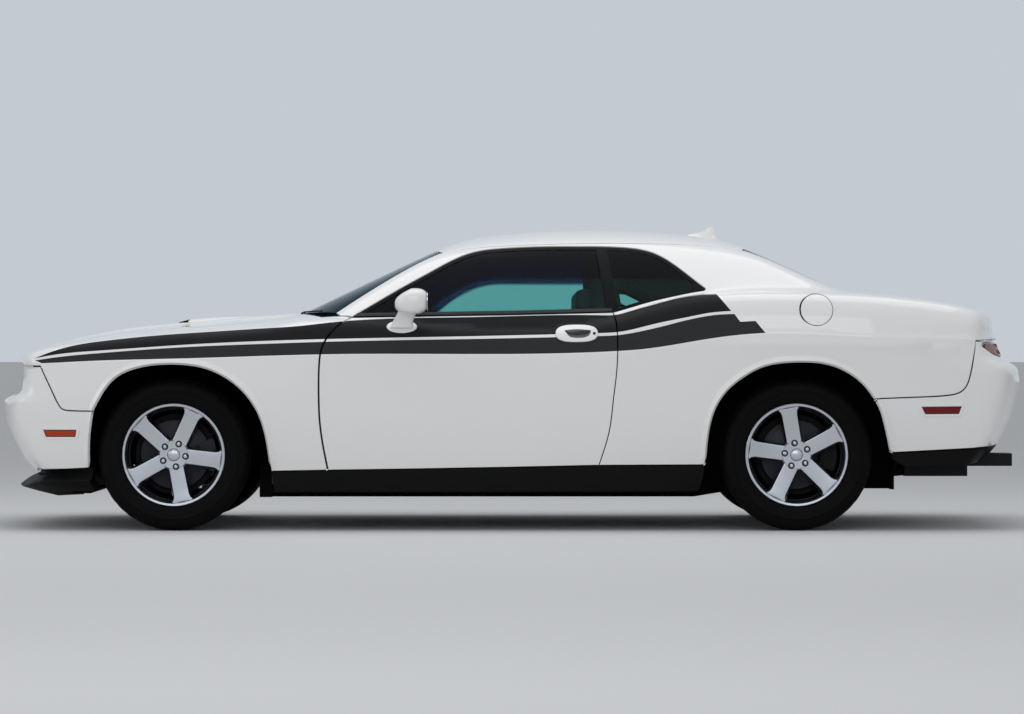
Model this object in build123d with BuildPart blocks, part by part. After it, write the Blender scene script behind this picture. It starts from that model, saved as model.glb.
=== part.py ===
from build123d import *
import os
from math import cos, radians, sin

os.makedirs("parts", exist_ok=True)

# Two-door muscle car, millimetres. The front points to -X, the car's left side to -Y, up is +Z.
# The origin is under the middle of the car, on the ground.

# Driving dimensions
wheelbase = 2946.0
front_overhang = 915.5
rear_overhang = 1160.5
body_width = 1923.0
roof_height = 1448.0
track = 1603.0

tyre_diameter = 716.0
tyre_width = 235.0
rim_radius = 229.0        # bead seat of an 18 inch rim
rim_flange_radius = 243.0
rim_width = 205.0
barrel_radius = 207.0     # clear inside of the rim
spoke_count = 5
spoke_width = 80.0
spoke_depth = 34.0
hub_radius = 75.0
lug_circle = 115.0
lug_radius = 11.0
disc_radius = 165.0
disc_thickness = 28.0

skin = 26.0               # a body panel with its inner panel
seam_gap = 6.0            # between two panels
fit = 0.3                 # between pieces that sit on each other
glass = 5.0
glass_inset = 4.0         # glass lies behind the pillars' faces
cabin_half_width = 785.0  # inside of the doors
roof_wall = 30.0


# Places worked out from them
nose_x = -(wheelbase + front_overhang + rear_overhang) / 2
tail_x = -nose_x
front_axle_x = nose_x + front_overhang
rear_axle_x = tail_x - rear_overhang
wheel_y = track / 2
wheel_z = tyre_diameter / 2
half_width = body_width / 2
axles = {"front": front_axle_x, "rear": rear_axle_x}

# Lower body, cross sections from nose to tail. Heights are from the ground, and each inset is from half the
# body width. The crease is the line under the stripes, the edge is where the side turns into the top.
# Columns: x, sill inset, waist inset, crease z, crease inset, edge z, edge inset, crown z
waist_z = 560.0
under_z = 165.0
low_z = 300.0
body_sections = [
    (nose_x, 110, 40, 786, 44, 812, 112, 850),
    (nose_x + 311, 95, 22, 792, 26, 884, 112, 907),
    (front_axle_x - 395, 85, 10, 802, 12, 914, 106, 951),
    (front_axle_x, 78, 2, 813, 4, 950, 98, 996),
    (front_axle_x + 395, 74, 7, 825, 8, 976, 98, 1028),
    (front_axle_x + 735, 72, 11, 834, 10, 1003, 108, 1050),
    (rear_axle_x - 850, 72, 11, 849, 10, 1022, 118, 1110),
    (rear_axle_x - 730, 72, 10, 858, 9, 1060, 124, 1130),
    (rear_axle_x - 430, 74, 5, 905, 4, 1118, 118, 1160),
    (rear_axle_x - 155, 78, 0, 934, 0, 1128, 104, 1160),
    (rear_axle_x + 300, 85, 3, 921, 3, 1116, 106, 1138),
    (rear_axle_x + 650, 95, 16, 908, 16, 1088, 124, 1107),
    (tail_x, 115, 42, 895, 46, 1018, 176, 1030),
]
# Side view of the nose and of the tail. Columns: z, how far the middle lies behind the foremost point
nose_profile = [
    (120, 215), (256, 168), (417, 55), (546, 7), (605, 0), (665, 82), (713, 97), (826, 88), (864, 163), (1500, 163),
]
# Columns: z, how far the middle lies ahead of the rearmost point
tail_profile = [
    (120, 420), (302, 181), (395, 101), (548, 41), (734, 0), (767, 8), (808, 75), (871, 135), (987, 121),
    (1041, 138), (1500, 138),
]
# Plan view of both ends. Columns: share of the half width, how far it lies behind the middle
nose_plan = [(0.62, 60), (0.84, 150), (0.95, 330), (1.0, 560)]
tail_plan = [(0.60, 40), (0.82, 105), (0.93, 230), (1.0, 450)]

# Cabin above the belt, as plan outlines.
# Columns: z, windshield x in the middle, at its edge, half width in front, half width behind,
#          rear window x at its edge, in the middle
cabin_levels = [
    (940, -1225, -985, 895, 890, 1800, 2080),
    (1040, -1031, -800, 835, 830, 1640, 1850),
    (1120, -863, -640, 776, 772, 1540, 1672),
    (1364, -355, -300, 590, 588, 1090, 1158),
    (1404, -240, -180, 500, 500, 990, 1066),
    (1432, -90, -40, 350, 350, 800, 880),
    (roof_height, 150, 180, 150, 150, 600, 640),
]

# Side view outlines, x and z
door_outline = [
    (-863, 287), (-901, 524), (-905, 736), (-891, 863), (-831, 954), (-760, 1012), (-752, 1150),
    (486, 1150), (486, 1031), (500, 945), (502, 849), (482, 615), (463, 470), (419, 326), (415, 309),
]
door_glass_outline = [
    (-752, 990), (-745, 1020), (-385, 1229), (-180, 1327), (132, 1351), (408, 1347), (455, 1045), (456, 990),
]
quarter_glass_outline = [
    (500, 1047), (500, 1345), (548, 1345), (666, 1325), (745, 1285), (823, 1227), (921, 1145), (778, 1119),
    (620, 1082),
]
front_bumper_region = [
    (nose_x - 90, 60), (nose_x - 90, 770), (-2221, 780), (-2127, 580), (-2041, 567), (-1900, 567), (-1900, 60),
]
rear_bumper_region = [
    (1700, 60), (1700, 627), (2103, 643), (2166, 700), (2208, 812), (tail_x + 90, 812), (tail_x + 90, 60),
]
# Where the painted side ends and the black sill cover begins
sill_line = [(-1400, 272), (-863, 280), (420, 302), (1100, 306)]
# Wheel arches, from the wheel's centre: start, then arcs as middle and end
arch_front = [(-400, -90), ((-398, 200), (-250, 385)), ((-20, 434), (180, 402)), ((380, 250), (463, -90))]
arch_rear = [(-436, -90), ((-405, 190), (-250, 380)), ((20, 446), (250, 390)), ((400, 260), (441, -90))]
rear_well_depth = 650.0

# Plan outlines of the lids, x and half width, the left half and then its mirror
hood_front_half = 700.0
hood_rear_half = 778.0
hood_rear_middle = -1078.0
hood_rear_corner = -892.0
deck_front_half = 640.0
deck_rear_half = 705.0
deck_front_x = 1690.0
deck_lip_z = 900.0
hood_lip_z = 776.0


def section_points(row, wall):
    """Half a cross section of the lower body, from below to the crown."""
    x, sill, waist, crease_z, crease, edge_z, edge, crown_z = row
    return [
        (half_width - sill - 30 - wall, under_z + wall),
        (half_width - sill + 26 - wall, low_z),
        (half_width - waist - wall, waist_z),
        (half_width - crease - wall, crease_z - wall / 8),
        (half_width - crease - (edge - crease) * 0.25 - wall * 0.95, crease_z + (edge_z - crease_z) * 0.72 - wall / 3),
        (half_width - edge - wall * 0.7, edge_z - wall * 0.7),
        (half_width - edge - 110 - wall / 4, edge_z + (crown_z - edge_z) * 0.36 - wall),
        (0, crown_z - wall),
    ]


def end_points(middle_x, toward, plan, wall):
    """Plan outline of one end, from the left over the middle to the right."""
    left = [(middle_x + toward * back, -half_width * share + wall) for share, back in plan]
    right = [(x, -y) for x, y in left]
    return left, right


def lower_body(wall):
    """The lower body as one closed volume, its whole skin moved inward by wall."""
    with BuildPart() as sides:
        for row in body_sections:
            half = section_points(row, wall)
            with BuildSketch(Plane(origin=(row[0], 0, 0), x_dir=(0, 1, 0), z_dir=(1, 0, 0))):
                with BuildLine():
                    Polyline(*half, *[(-y, z) for y, z in half[-2::-1]], close=True)
                make_face()
        loft(ruled=True)
    with BuildPart() as nose:
        for z, setback in nose_profile:
            middle_x = nose_x + setback + wall
            left, right = end_points(middle_x, 1, nose_plan, wall)
            with BuildSketch(Plane.XY.offset(z)):
                with BuildLine():
                    Polyline(*[(0.0, left[-1][1]), *left[::-1]])
                    ThreePointArc(left[0], (middle_x, 0), right[0])
                    Polyline(*[*right, (0.0, right[-1][1])])
                    Line((0.0, right[-1][1]), (0.0, left[-1][1]))
                make_face()
        loft(ruled=True)
    with BuildPart() as tail:
        for z, setback in tail_profile:
            middle_x = tail_x - setback - wall
            left, right = end_points(middle_x, -1, tail_plan, wall)
            with BuildSketch(Plane.XY.offset(z)):
                with BuildLine():
                    Polyline(*[(0.0, left[-1][1]), *left[::-1]])
                    ThreePointArc(left[0], (middle_x, 0), right[0])
                    Polyline(*[*right, (0.0, right[-1][1])])
                    Line((0.0, right[-1][1]), (0.0, left[-1][1]))
                make_face()
        loft(ruled=True)
    with BuildPart() as ends:
        add(nose.part)
        add(tail.part)
    with BuildPart() as whole:
        add(sides.part)
        add(ends.part, mode=Mode.INTERSECT)
    return whole.part


def upper_body(wall):
    """The cabin above the belt as one closed volume, its whole skin moved inward by wall."""
    inward = wall * 1.6
    with BuildPart() as whole:
        for z, front_middle, front_edge, front_half, rear_half, rear_edge, rear_middle in cabin_levels:
            level = z - wall * (z - cabin_levels[0][0]) / (roof_height - cabin_levels[0][0])
            front_y = front_half - wall * 1.1
            rear_y = rear_half - wall * 1.1
            with BuildSketch(Plane.XY.offset(level)):
                with BuildLine():
                    ThreePointArc(
                        (front_edge + inward, -front_y), (front_middle + inward, 0), (front_edge + inward, front_y)
                    )
                    Line((front_edge + inward, front_y), (rear_edge - inward, rear_y))
                    ThreePointArc(
                        (rear_edge - inward, rear_y), (rear_middle - inward, 0), (rear_edge - inward, -rear_y)
                    )
                    Line((rear_edge - inward, -rear_y), (front_edge + inward, -front_y))
                make_face()
        loft(ruled=True)
    return whole.part


def side_prism(outline, grow, inner, outer):
    """A side view outline, made larger by grow, as a bar from y = inner to y = outer."""
    with BuildPart() as bar:
        with BuildSketch(Plane(origin=(0, outer, 0), x_dir=(1, 0, 0), z_dir=(0, -1, 0))):
            with BuildLine():
                Polyline(*outline, close=True)
            make_face()
            if grow:
                offset(amount=grow, kind=Kind.INTERSECTION, mode=Mode.REPLACE)
        extrude(amount=outer - inner)
    return bar.part



def plan_prism(outline, grow, low, high):
    """A plan outline, made larger by grow, as a bar from z = low to z = high."""
    with BuildPart() as bar:
        with BuildSketch(Plane.XY.offset(low)):
            with BuildLine():
                Polyline(*outline, close=True)
            make_face()
            if grow:
                offset(amount=grow, kind=Kind.INTERSECTION, mode=Mode.REPLACE)
        extrude(amount=high - low)
    return bar.part


def block(x, y, z):
    """A box from its two limits along each axis."""
    with BuildPart() as box:
        with Locations(((x[0] + x[1]) / 2, (y[0] + y[1]) / 2, (z[0] + z[1]) / 2)):
            Box(x[1] - x[0], y[1] - y[0], z[1] - z[0])
    return box.part


def rod(start, end, radius):
    """A round bar from one point to another."""
    with BuildPart() as bar:
        with BuildSketch(Plane(origin=start, z_dir=Vector(*end) - Vector(*start))):
            Circle(radius)
        extrude(amount=(Vector(*end) - Vector(*start)).length)
    return bar.part


def arch_prism(axle, table, grow, inner, outer):
    """The opening of a wheel arch, across from y = inner to y = outer."""
    with BuildPart() as bar:
        with BuildSketch(Plane(origin=(axle, outer, wheel_z), x_dir=(1, 0, 0), z_dir=(0, -1, 0))):
            with BuildLine():
                here = table[0]
                for middle, end in table[1:]:
                    ThreePointArc(here, middle, end)
                    here = end
                Polyline(here, (here[0], -wheel_z), (table[0][0], -wheel_z), table[0])
            make_face()
            if grow:
                offset(amount=grow, kind=Kind.INTERSECTION, mode=Mode.REPLACE)
        extrude(amount=outer - inner)
    return bar.part


def finish(part, name):
    part.label = name
    export_step(part, f"parts/{name}.step")


def both_sides(part, name):
    """Writes a left piece and its mirror image."""
    finish(part, f"{name}_left")
    with BuildPart() as right:
        add(mirror(part, about=Plane.XZ, mode=Mode.PRIVATE))
    finish(right.part, f"{name}_right")


hull = lower_body(0)
hull_inside = lower_body(skin)
hull_clear = lower_body(skin + fit)
cabin = upper_body(0)
cabin_inside = upper_body(roof_wall)
cabin_clear = upper_body(roof_wall + fit)
glass_outside = upper_body(glass_inset)
glass_inside = upper_body(glass_inset + glass)
hull_outside = lower_body(-fit)

with BuildPart() as hull_skin:
    add(hull)
    add(hull_inside, mode=Mode.SUBTRACT)
with BuildPart() as glass_skin:
    add(glass_outside)
    add(glass_inside, mode=Mode.SUBTRACT)
with BuildPart() as glass_slot:
    add(upper_body(glass_inset - fit))
    add(upper_body(glass_inset + glass + fit), mode=Mode.SUBTRACT)

# Shared cutters
far = half_width + 60
door_cut = side_prism(door_outline, seam_gap, -far, far)
arches = [
    arch_prism(front_axle_x, arch_front, 0, -far, far),
    arch_prism(rear_axle_x, arch_rear, 0, -far, far),
]
sill_region = [*sill_line, (sill_line[-1][0], 60), (sill_line[0][0], 60)]
hood_outline = [
    (nose_x - 90, -hood_front_half), (nose_x + 160, -hood_front_half - 30),
    (hood_rear_corner, -hood_rear_half), (hood_rear_middle + 50, -hood_rear_half / 2), (hood_rear_middle, 0),
    (hood_rear_middle + 50, hood_rear_half / 2), (hood_rear_corner, hood_rear_half),
    (nose_x + 160, hood_front_half + 30), (nose_x - 90, hood_front_half),
]
deck_outline = [
    (deck_front_x, -deck_front_half), (tail_x + 90, -deck_rear_half),
    (tail_x + 90, deck_rear_half), (deck_front_x, deck_front_half),
]
# The opening that the cabin leaves in the top of the lower body, and the space inside the doors
cabin_hole = plan_prism(
    [(-905, -700), (-830, -775), (1100, -735), (1500, -640), (deck_front_x - seam_gap, -600),
     (deck_front_x - seam_gap, 600), (1500, 640), (1100, 735), (-830, 775), (-905, 700), (-1075, 250), (-1095, 0), (-1075, -250)], 0, 900, roof_height)
cabin_space = block((-975, 1240), (-cabin_half_width, cabin_half_width), (100, roof_height))
hinge_x = -888.0
hinge_y = half_width - 37.0
hinge_pocket = 43.0
with BuildPart() as hinge_pockets:
    with BuildSketch(Plane.XY.offset(235)):
        with Locations((hinge_x, -hinge_y), (hinge_x, hinge_y)):
            Circle(hinge_pocket)
    extrude(amount=790)

# Front bumper cover with the grille opening and the lower intake
grille_half = 760.0
grille_z = (640.0, 768.0)
intake_half = 560.0
intake_z = (335.0, 455.0)
with BuildPart() as front_bumper:
    add(hull_skin.part)
    add(side_prism(front_bumper_region, 0, -far, far), mode=Mode.INTERSECT)
    add(arches[0], mode=Mode.SUBTRACT)
    add(block((nose_x - 50, nose_x + 700), (-grille_half, grille_half), (grille_z[0], 900)), mode=Mode.SUBTRACT)
    add(block((nose_x - 50, nose_x + 500), (-intake_half, intake_half), intake_z), mode=Mode.SUBTRACT)
    add(block((nose_x - 50, tail_x), (-far, far), (0, 262)), mode=Mode.SUBTRACT)
    add(plan_prism(hood_outline, seam_gap, hood_lip_z - seam_gap, 1200), mode=Mode.SUBTRACT)
finish(front_bumper.part, "front_bumper")

# Front fender
with BuildPart() as fender:
    add(hull_skin.part)
    add(block((nose_x - 50, -740), (-far, -380), (0, 1200)), mode=Mode.INTERSECT)
    add(side_prism(front_bumper_region, seam_gap, -far, far), mode=Mode.SUBTRACT)
    add(side_prism(sill_region, 0, -far, far), mode=Mode.SUBTRACT)
    add(block((nose_x - 50, nose_x + 1000), (-far, far), (0, 350)), mode=Mode.SUBTRACT)
    add(block((nose_x - 50, nose_x + 700), (-grille_half, grille_half), (grille_z[0], hood_lip_z)), mode=Mode.SUBTRACT)
    add(arches[0], mode=Mode.SUBTRACT)
    add(door_cut, mode=Mode.SUBTRACT)
    add(hinge_pockets.part, mode=Mode.SUBTRACT)
    add(plan_prism(hood_outline, seam_gap, 600, 1200), mode=Mode.SUBTRACT)
    add(block((hood_rear_corner - seam_gap, 0), (-700, 700), (0, 1200)), mode=Mode.SUBTRACT)
    add(cabin_hole, mode=Mode.SUBTRACT)
both_sides(fender.part, "fender")

# Hood with its front lip
with BuildPart() as hood:
    add(hull_skin.part)
    add(plan_prism(hood_outline, 0, hood_lip_z, 1200), mode=Mode.INTERSECT)
finish(hood.part, "hood")

# Decklid with its lip
with BuildPart() as decklid:
    add(hull_skin.part)
    add(plan_prism(deck_outline, 0, deck_lip_z, 1300), mode=Mode.INTERSECT)
finish(decklid.part, "decklid")


# Door, as thick as the whole door, stepped all round so that it swings out past its frame
door_step = 22.0
door_skin_y = half_width - 62.0
hinge_z = (410.0, 790.0)
hinge_boss = 12.0
handle_outline = [(215, 905), (215, 950), (235, 968), (385, 970), (408, 950), (408, 912), (388, 894), (235, 892)]
with BuildPart() as door:
    add(side_prism(door_outline, 0, -far, -door_skin_y))
    add(side_prism(door_outline, -door_step, -door_skin_y, -cabin_half_width))
    add(hull, mode=Mode.INTERSECT)
    add(glass_slot.part, mode=Mode.SUBTRACT)
    for z in hinge_z:
        with Locations((hinge_x, -hinge_y, z)):
            Cylinder(hinge_boss + 14, 18, align=(Align.CENTER, Align.CENTER, Align.MAX), mode=Mode.SUBTRACT)
with BuildPart() as handle:
    add(lower_body(-9))
    add(side_prism(handle_outline, 0, -far, -half_width / 2), mode=Mode.INTERSECT)
    add(hull, mode=Mode.SUBTRACT)
with BuildPart() as door_whole:
    add(door.part)
    add(handle.part)
both_sides(door_whole.part, "door")

with BuildPart() as door_glass:
    add(glass_skin.part)
    add(side_prism(door_glass_outline, 0, -far, -300), mode=Mode.INTERSECT)
    add(block((-2000, 2000), (-far, far), (988, roof_height)), mode=Mode.INTERSECT)
both_sides(door_glass.part, "door_glass")

mirror_x = (-551.0, -386.0)
mirror_y = (905.0, 1075.0)
mirror_z = (1017.0, 1144.0)
with BuildPart() as mirror_head:
    with BuildSketch(Plane.YZ.offset(mirror_x[1])):
        with Locations((-(mirror_y[0] + mirror_y[1]) / 2, (mirror_z[0] + mirror_z[1]) / 2)):
            RectangleRounded(mirror_y[1] - mirror_y[0], mirror_z[1] - mirror_z[0], 45)
    with BuildSketch(Plane.YZ.offset(mirror_x[0])):
        with Locations((-(mirror_y[0] + mirror_y[1]) / 2, (mirror_z[0] + mirror_z[1]) / 2)):
            RectangleRounded(mirror_y[1] - mirror_y[0] - 70, mirror_z[1] - mirror_z[0] - 50, 25)
    loft()
    with BuildSketch(Plane.XY.offset(930)):
        with Locations((-516, -905)):
            Ellipse(66, 22)
    with BuildSketch(Plane.XY.offset(mirror_z[0] + 30)):
        with Locations((-470, -945)):
            Ellipse(30, 22)
    loft()
    add(hull_outside, mode=Mode.SUBTRACT)
both_sides(mirror_head.part, "mirror")

# Rear quarter panel with the lock pillar and a shallow pocket for the fuel door
fuel_centre = (1442.0, 1045.0)
fuel_radius = 74.0
fuel_thickness = 8.0
fuel_gap = 11.0
lamp_region = [(2228, 816), (tail_x + 90, 816), (tail_x + 90, 896), (2240, 896)]
pillar_end = 565.0
fuel_hole = Plane(origin=(fuel_centre[0], -far, fuel_centre[1]), z_dir=(0, 1, 0))
with BuildPart() as fuel_pocket:
    with BuildSketch(fuel_hole):
        Circle(fuel_radius + fuel_gap)
    extrude(amount=400)
    add(lower_body(fuel_thickness + fit), mode=Mode.SUBTRACT)
fuel_groove = (-12.0, 34.0)
fuel_groove_depth = 19.0
with BuildPart() as fuel_hinge_groove:
    with BuildSketch(fuel_hole):
        Circle(fuel_radius + fuel_gap + 3)
    extrude(amount=400)
    add(block((fuel_centre[0] - fuel_radius + fuel_groove[0], fuel_centre[0] - fuel_radius + fuel_groove[1]),
              (-far, 0), (900, 1200)), mode=Mode.INTERSECT)
    add(lower_body(fuel_groove_depth), mode=Mode.SUBTRACT)
with BuildPart() as quarter:
    add(hull_skin.part)
    add(block((380, tail_x), (-far, -380), (0, 1200)), mode=Mode.INTERSECT)
    add(side_prism(rear_bumper_region, seam_gap, -far, far), mode=Mode.SUBTRACT)
    add(side_prism(lamp_region, seam_gap, -far, far), mode=Mode.SUBTRACT)
    add(side_prism(sill_region, seam_gap, -far, far), mode=Mode.SUBTRACT)
    add(block((380, tail_x), (-far, far), (0, 309)), mode=Mode.SUBTRACT)
    add(plan_prism(deck_outline, seam_gap, 600, 1300), mode=Mode.SUBTRACT)
    add(cabin_hole, mode=Mode.SUBTRACT)
with BuildPart() as quarter_slot:
    add(glass_slot.part)
    add(side_prism(quarter_glass_outline, fit, -far, 0), mode=Mode.INTERSECT)
with BuildPart() as lock_pillar:
    add(hull)
    add(block((380, pillar_end), (-far, -cabin_half_width), (312, 985)), mode=Mode.INTERSECT)
with BuildPart() as quarter_whole:
    add(quarter.part)
    add(lock_pillar.part)
    add(door_cut, mode=Mode.SUBTRACT)
    add(arches[1], mode=Mode.SUBTRACT)
    add(quarter_slot.part, mode=Mode.SUBTRACT)
finish(mirror(quarter_whole.part, about=Plane.XZ), "quarter_right")
with BuildPart() as quarter_left:
    add(quarter_whole.part)
    add(fuel_pocket.part, mode=Mode.SUBTRACT)
    add(fuel_hinge_groove.part, mode=Mode.SUBTRACT)
finish(quarter_left.part, "quarter_left")

with BuildPart() as fuel_door:
    with BuildSketch(fuel_hole):
        Circle(fuel_radius)
    extrude(amount=400)
    add(hull, mode=Mode.INTERSECT)
    add(lower_body(fuel_thickness), mode=Mode.SUBTRACT)
finish(fuel_door.part, "fuel_door")

# Rear bumper cover
valance_z = (289.0, 394.0)
plate_z = 655.0
plate_bolts = (177.8, 120.65)
plate_hole = 3.2
plate_face_x = 2468.0
plate_wall = 16.0
plate_recess = (160.0, 68.0)
with BuildPart() as plate_pocket:
    add(block((plate_face_x, tail_x), (-plate_recess[0], plate_recess[0]),
              (plate_z - plate_recess[1], plate_z + plate_recess[1])))
with BuildPart() as plate_frame:
    add(block((plate_face_x - plate_wall, tail_x), (-plate_recess[0] - plate_wall, plate_recess[0] + plate_wall),
              (plate_z - plate_recess[1] - plate_wall, plate_z + plate_recess[1] + plate_wall)))
with BuildPart() as rear_bumper:
    add(hull_skin.part)
    add(side_prism(rear_bumper_region, 0, -far, far), mode=Mode.INTERSECT)
    add(block((0, tail_x), (-far, far), (0, valance_z[1] + seam_gap)), mode=Mode.SUBTRACT)
    add(arches[1], mode=Mode.SUBTRACT)
    with BuildPart(mode=Mode.PRIVATE) as plate_seat:
        add(plate_frame.part)
        add(hull, mode=Mode.INTERSECT)
    add(plate_seat.part)
    add(plate_pocket.part, mode=Mode.SUBTRACT)
    with BuildSketch(Plane.YZ.offset(tail_x)):
        with Locations((0, plate_z)):
            with GridLocations(plate_bolts[0], plate_bolts[1], 2, 2):
                Circle(plate_hole)
    extrude(amount=-120, mode=Mode.SUBTRACT)
finish(rear_bumper.part, "rear_bumper")

# Roof with its pillars and the aerial fin
windshield_outline = [
    (-1500, -872), (-1000, -872), (-350, -553), (-375, 0), (-350, 553), (-1000, 872), (-1500, 872),
]
rear_window_outline = [(1128, -500), (1700, -650), (1900, 0), (1700, 650), (1128, 500), (1168, 0)]
fin_outline = [(860, 1400), (905, 1438), (1001, roof_height + 22), (1046, 1395)]
with BuildPart() as roof:
    add(cabin)
    add(cabin_inside, mode=Mode.SUBTRACT)
    add(side_prism(fin_outline, 0, -14, 14))
    add(cabin_inside, mode=Mode.SUBTRACT)
    add(hull_outside, mode=Mode.SUBTRACT)
    add(plan_prism(windshield_outline, fit, 900, roof_height), mode=Mode.SUBTRACT)
    add(plan_prism(rear_window_outline, fit, 900, roof_height), mode=Mode.SUBTRACT)
    add(side_prism(door_glass_outline, seam_gap, -far, far), mode=Mode.SUBTRACT)
    add(side_prism(quarter_glass_outline, fit, -far, far), mode=Mode.SUBTRACT)
    add(block((-2000, tail_x), (-far, far), (0, 1006)), mode=Mode.SUBTRACT)
finish(roof.part, "roof")

with BuildPart() as windshield:
    add(glass_skin.part)
    add(plan_prism(windshield_outline, 0, 1010, roof_height), mode=Mode.INTERSECT)
    add(hull_outside, mode=Mode.SUBTRACT)
finish(windshield.part, "windshield")
with BuildPart() as rear_window:
    add(glass_skin.part)
    add(plan_prism(rear_window_outline, 0, 1010, roof_height), mode=Mode.INTERSECT)
    add(hull_outside, mode=Mode.SUBTRACT)
finish(rear_window.part, "rear_window")
with BuildPart() as quarter_windows:
    add(glass_skin.part)
    add(side_prism(quarter_glass_outline, 0, -far, far), mode=Mode.INTERSECT)
finish(quarter_windows.part, "quarter_windows")


# Wheels. The profile's columns are the radius and the distance outward from the wheel's middle plane.
bore = 26.8
face_out = 84.0
mount_out = 24.0
disc_in = -33.0
barrel_profile = [
    (barrel_radius, -97), (rim_flange_radius, -rim_width / 2), (rim_flange_radius, -94.5), (rim_radius - 1, -94.5),
    (rim_radius - 1, -60), (barrel_radius + 9, -45), (barrel_radius + 9, 40), (rim_radius - 1, 70),
    (rim_radius - 1, 94.5), (rim_flange_radius, 94.5), (rim_flange_radius, rim_width / 2), (232, rim_width / 2),
    (barrel_radius + 8, 88), (barrel_radius, 30),
]
tyre_profile = [
    (rim_radius, -94), (rim_flange_radius + 0.5, -94), (tyre_diameter / 2 - 58, -tyre_width / 2),
    (tyre_diameter / 2 - 16, -tyre_width / 2 + 10), (tyre_diameter / 2, -tyre_width / 2 + 42),
    (tyre_diameter / 2, tyre_width / 2 - 42), (tyre_diameter / 2 - 16, tyre_width / 2 - 10),
    (tyre_diameter / 2 - 58, tyre_width / 2), (rim_flange_radius + 0.5, 94), (rim_radius, 94),
]


def turned(profile, centre, side):
    """A ring about the wheel's axle; side is -1 on the left, +1 on the right."""
    with BuildPart() as ring:
        with BuildSketch(Plane(origin=centre, x_dir=(0, 0, 1), z_dir=(-side, 0, 0))):
            with BuildLine():
                Polyline(*[(radius, out) for radius, out in profile], close=True)
            make_face()
        revolve(axis=Axis(centre, (0, 1, 0)))
    return ring.part


for end, first_spoke in (("front", 281.0), ("rear", 316.0)):
    for side, label in ((-1, "left"), (1, "right")):
        centre = (axles[end], side * wheel_y, wheel_z)
        face = Plane(origin=(centre[0], side * (wheel_y + face_out - spoke_depth), wheel_z), x_dir=(1, 0, 0),
                     z_dir=(0, side, 0))
        with BuildPart() as wheel:
            add(turned(barrel_profile, centre, side))
            with BuildSketch(face):
                with PolarLocations(0, spoke_count, first_spoke):
                    with Locations((barrel_radius / 2 + 5, 0)):
                        Rectangle(barrel_radius + 10, spoke_width)
            extrude(amount=spoke_depth)
            with BuildSketch(face):
                Circle(hub_radius)
            extrude(amount=spoke_depth)
            add(turned([(bore, disc_in), (disc_radius, disc_in), (disc_radius, disc_in + disc_thickness),
                        (hub_radius, disc_in + disc_thickness), (hub_radius, face_out - spoke_depth),
                        (bore, face_out - spoke_depth)], centre, side))
            with BuildSketch(Plane(origin=face.origin + face.z_dir * spoke_depth, x_dir=(1, 0, 0), z_dir=face.z_dir)):
                with PolarLocations(lug_circle / 2, spoke_count, first_spoke):
                    Circle(lug_radius)
            extrude(amount=8)
        finish(wheel.part, f"wheel_{end}_{label}")
        with BuildPart() as tyre:
            add(turned(tyre_profile, centre, side))
        finish(tyre.part, f"tyre_{end}_{label}")

# Steering knuckles, with the front calipers
kingpin_y = 745.0
knuckle_out = disc_in - 5.5
upright_half = 112.0
arm_gap = 6.0
caliper_outer = 196.0


def upright(axle, toward):
    """The left upright with spindle and caliper; toward is +1 with the caliper behind the axle, -1 ahead of it."""
    inner = -(wheel_y + knuckle_out)
    with BuildPart() as part:
        add(block((axle - 35, axle + 35), (inner, -722), (wheel_z - upright_half, wheel_z + upright_half)))
        add(rod((axle, inner, wheel_z), (axle, -(wheel_y + 20), wheel_z), bore - fit))
        add(block((axle + toward * 30, axle + toward * 140) if toward > 0 else (axle - 140, axle - 30),
                  (inner, inner + 20), (wheel_z - 30, wheel_z + 30)))
        with BuildSketch(Plane(origin=(axle, inner + 20, wheel_z), x_dir=(1, 0, 0), z_dir=(0, -1, 0))):
            with BuildLine():
                a, b = (radians(angle if toward > 0 else 180 - angle) for angle in (-24, 24))
                inside, outside = disc_radius - 45, caliper_outer
                Polyline((inside * cos(a), inside * sin(a)), (outside * cos(a), outside * sin(a)))
                ThreePointArc((outside * cos(a), outside * sin(a)), (toward * outside, 0),
                              (outside * cos(b), outside * sin(b)))
                Polyline((outside * cos(b), outside * sin(b)), (inside * cos(b), inside * sin(b)))
                ThreePointArc((inside * cos(b), inside * sin(b)), (toward * inside, 0),
                              (inside * cos(a), inside * sin(a)))
            make_face()
        extrude(amount=74)
        with BuildSketch(Plane(origin=(axle, -(wheel_y + disc_in - 5), wheel_z), x_dir=(1, 0, 0), z_dir=(0, -1, 0))):
            Circle(disc_radius + 6)
            Circle(bore + 4, mode=Mode.SUBTRACT)
        extrude(amount=disc_thickness + 10, mode=Mode.SUBTRACT)
    return part.part


with BuildPart() as knuckle:
    add(upright(front_axle_x, 1))
    with Locations((front_axle_x, -kingpin_y, wheel_z)):
        Cylinder(18, 2 * (upright_half + arm_gap - fit))
both_sides(knuckle.part, "knuckle")

# Front subframe with its control arms
rail_y = (380.0, 440.0)
# Small enough to stay clear of the disc when the wheel is steered
arm_eye = 17.0
arm_z = wheel_z - upright_half - arm_gap
upper_arm_z = wheel_z + upright_half + arm_gap
with BuildPart() as front_subframe:
    add(block((front_axle_x - 85, front_axle_x + 85), (-470, 470), (222, 300 - fit)))
    for side in (-1, 1):
        inner, outer = sorted((side * 440, side * kingpin_y))
        for low, high in ((arm_z - 22, arm_z), (upper_arm_z, upper_arm_z + 16)):
            add(block((front_axle_x - arm_eye, front_axle_x + arm_eye), (inner, outer), (low, high)))
            add(rod((front_axle_x, side * kingpin_y, low), (front_axle_x, side * kingpin_y, high), arm_eye))
        add(block((front_axle_x - 45, front_axle_x + 45), tuple(sorted((side * 445, side * 466))),
                  (arm_z - 22, upper_arm_z + 16)))
finish(front_subframe.part, "front_subframe")

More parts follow.
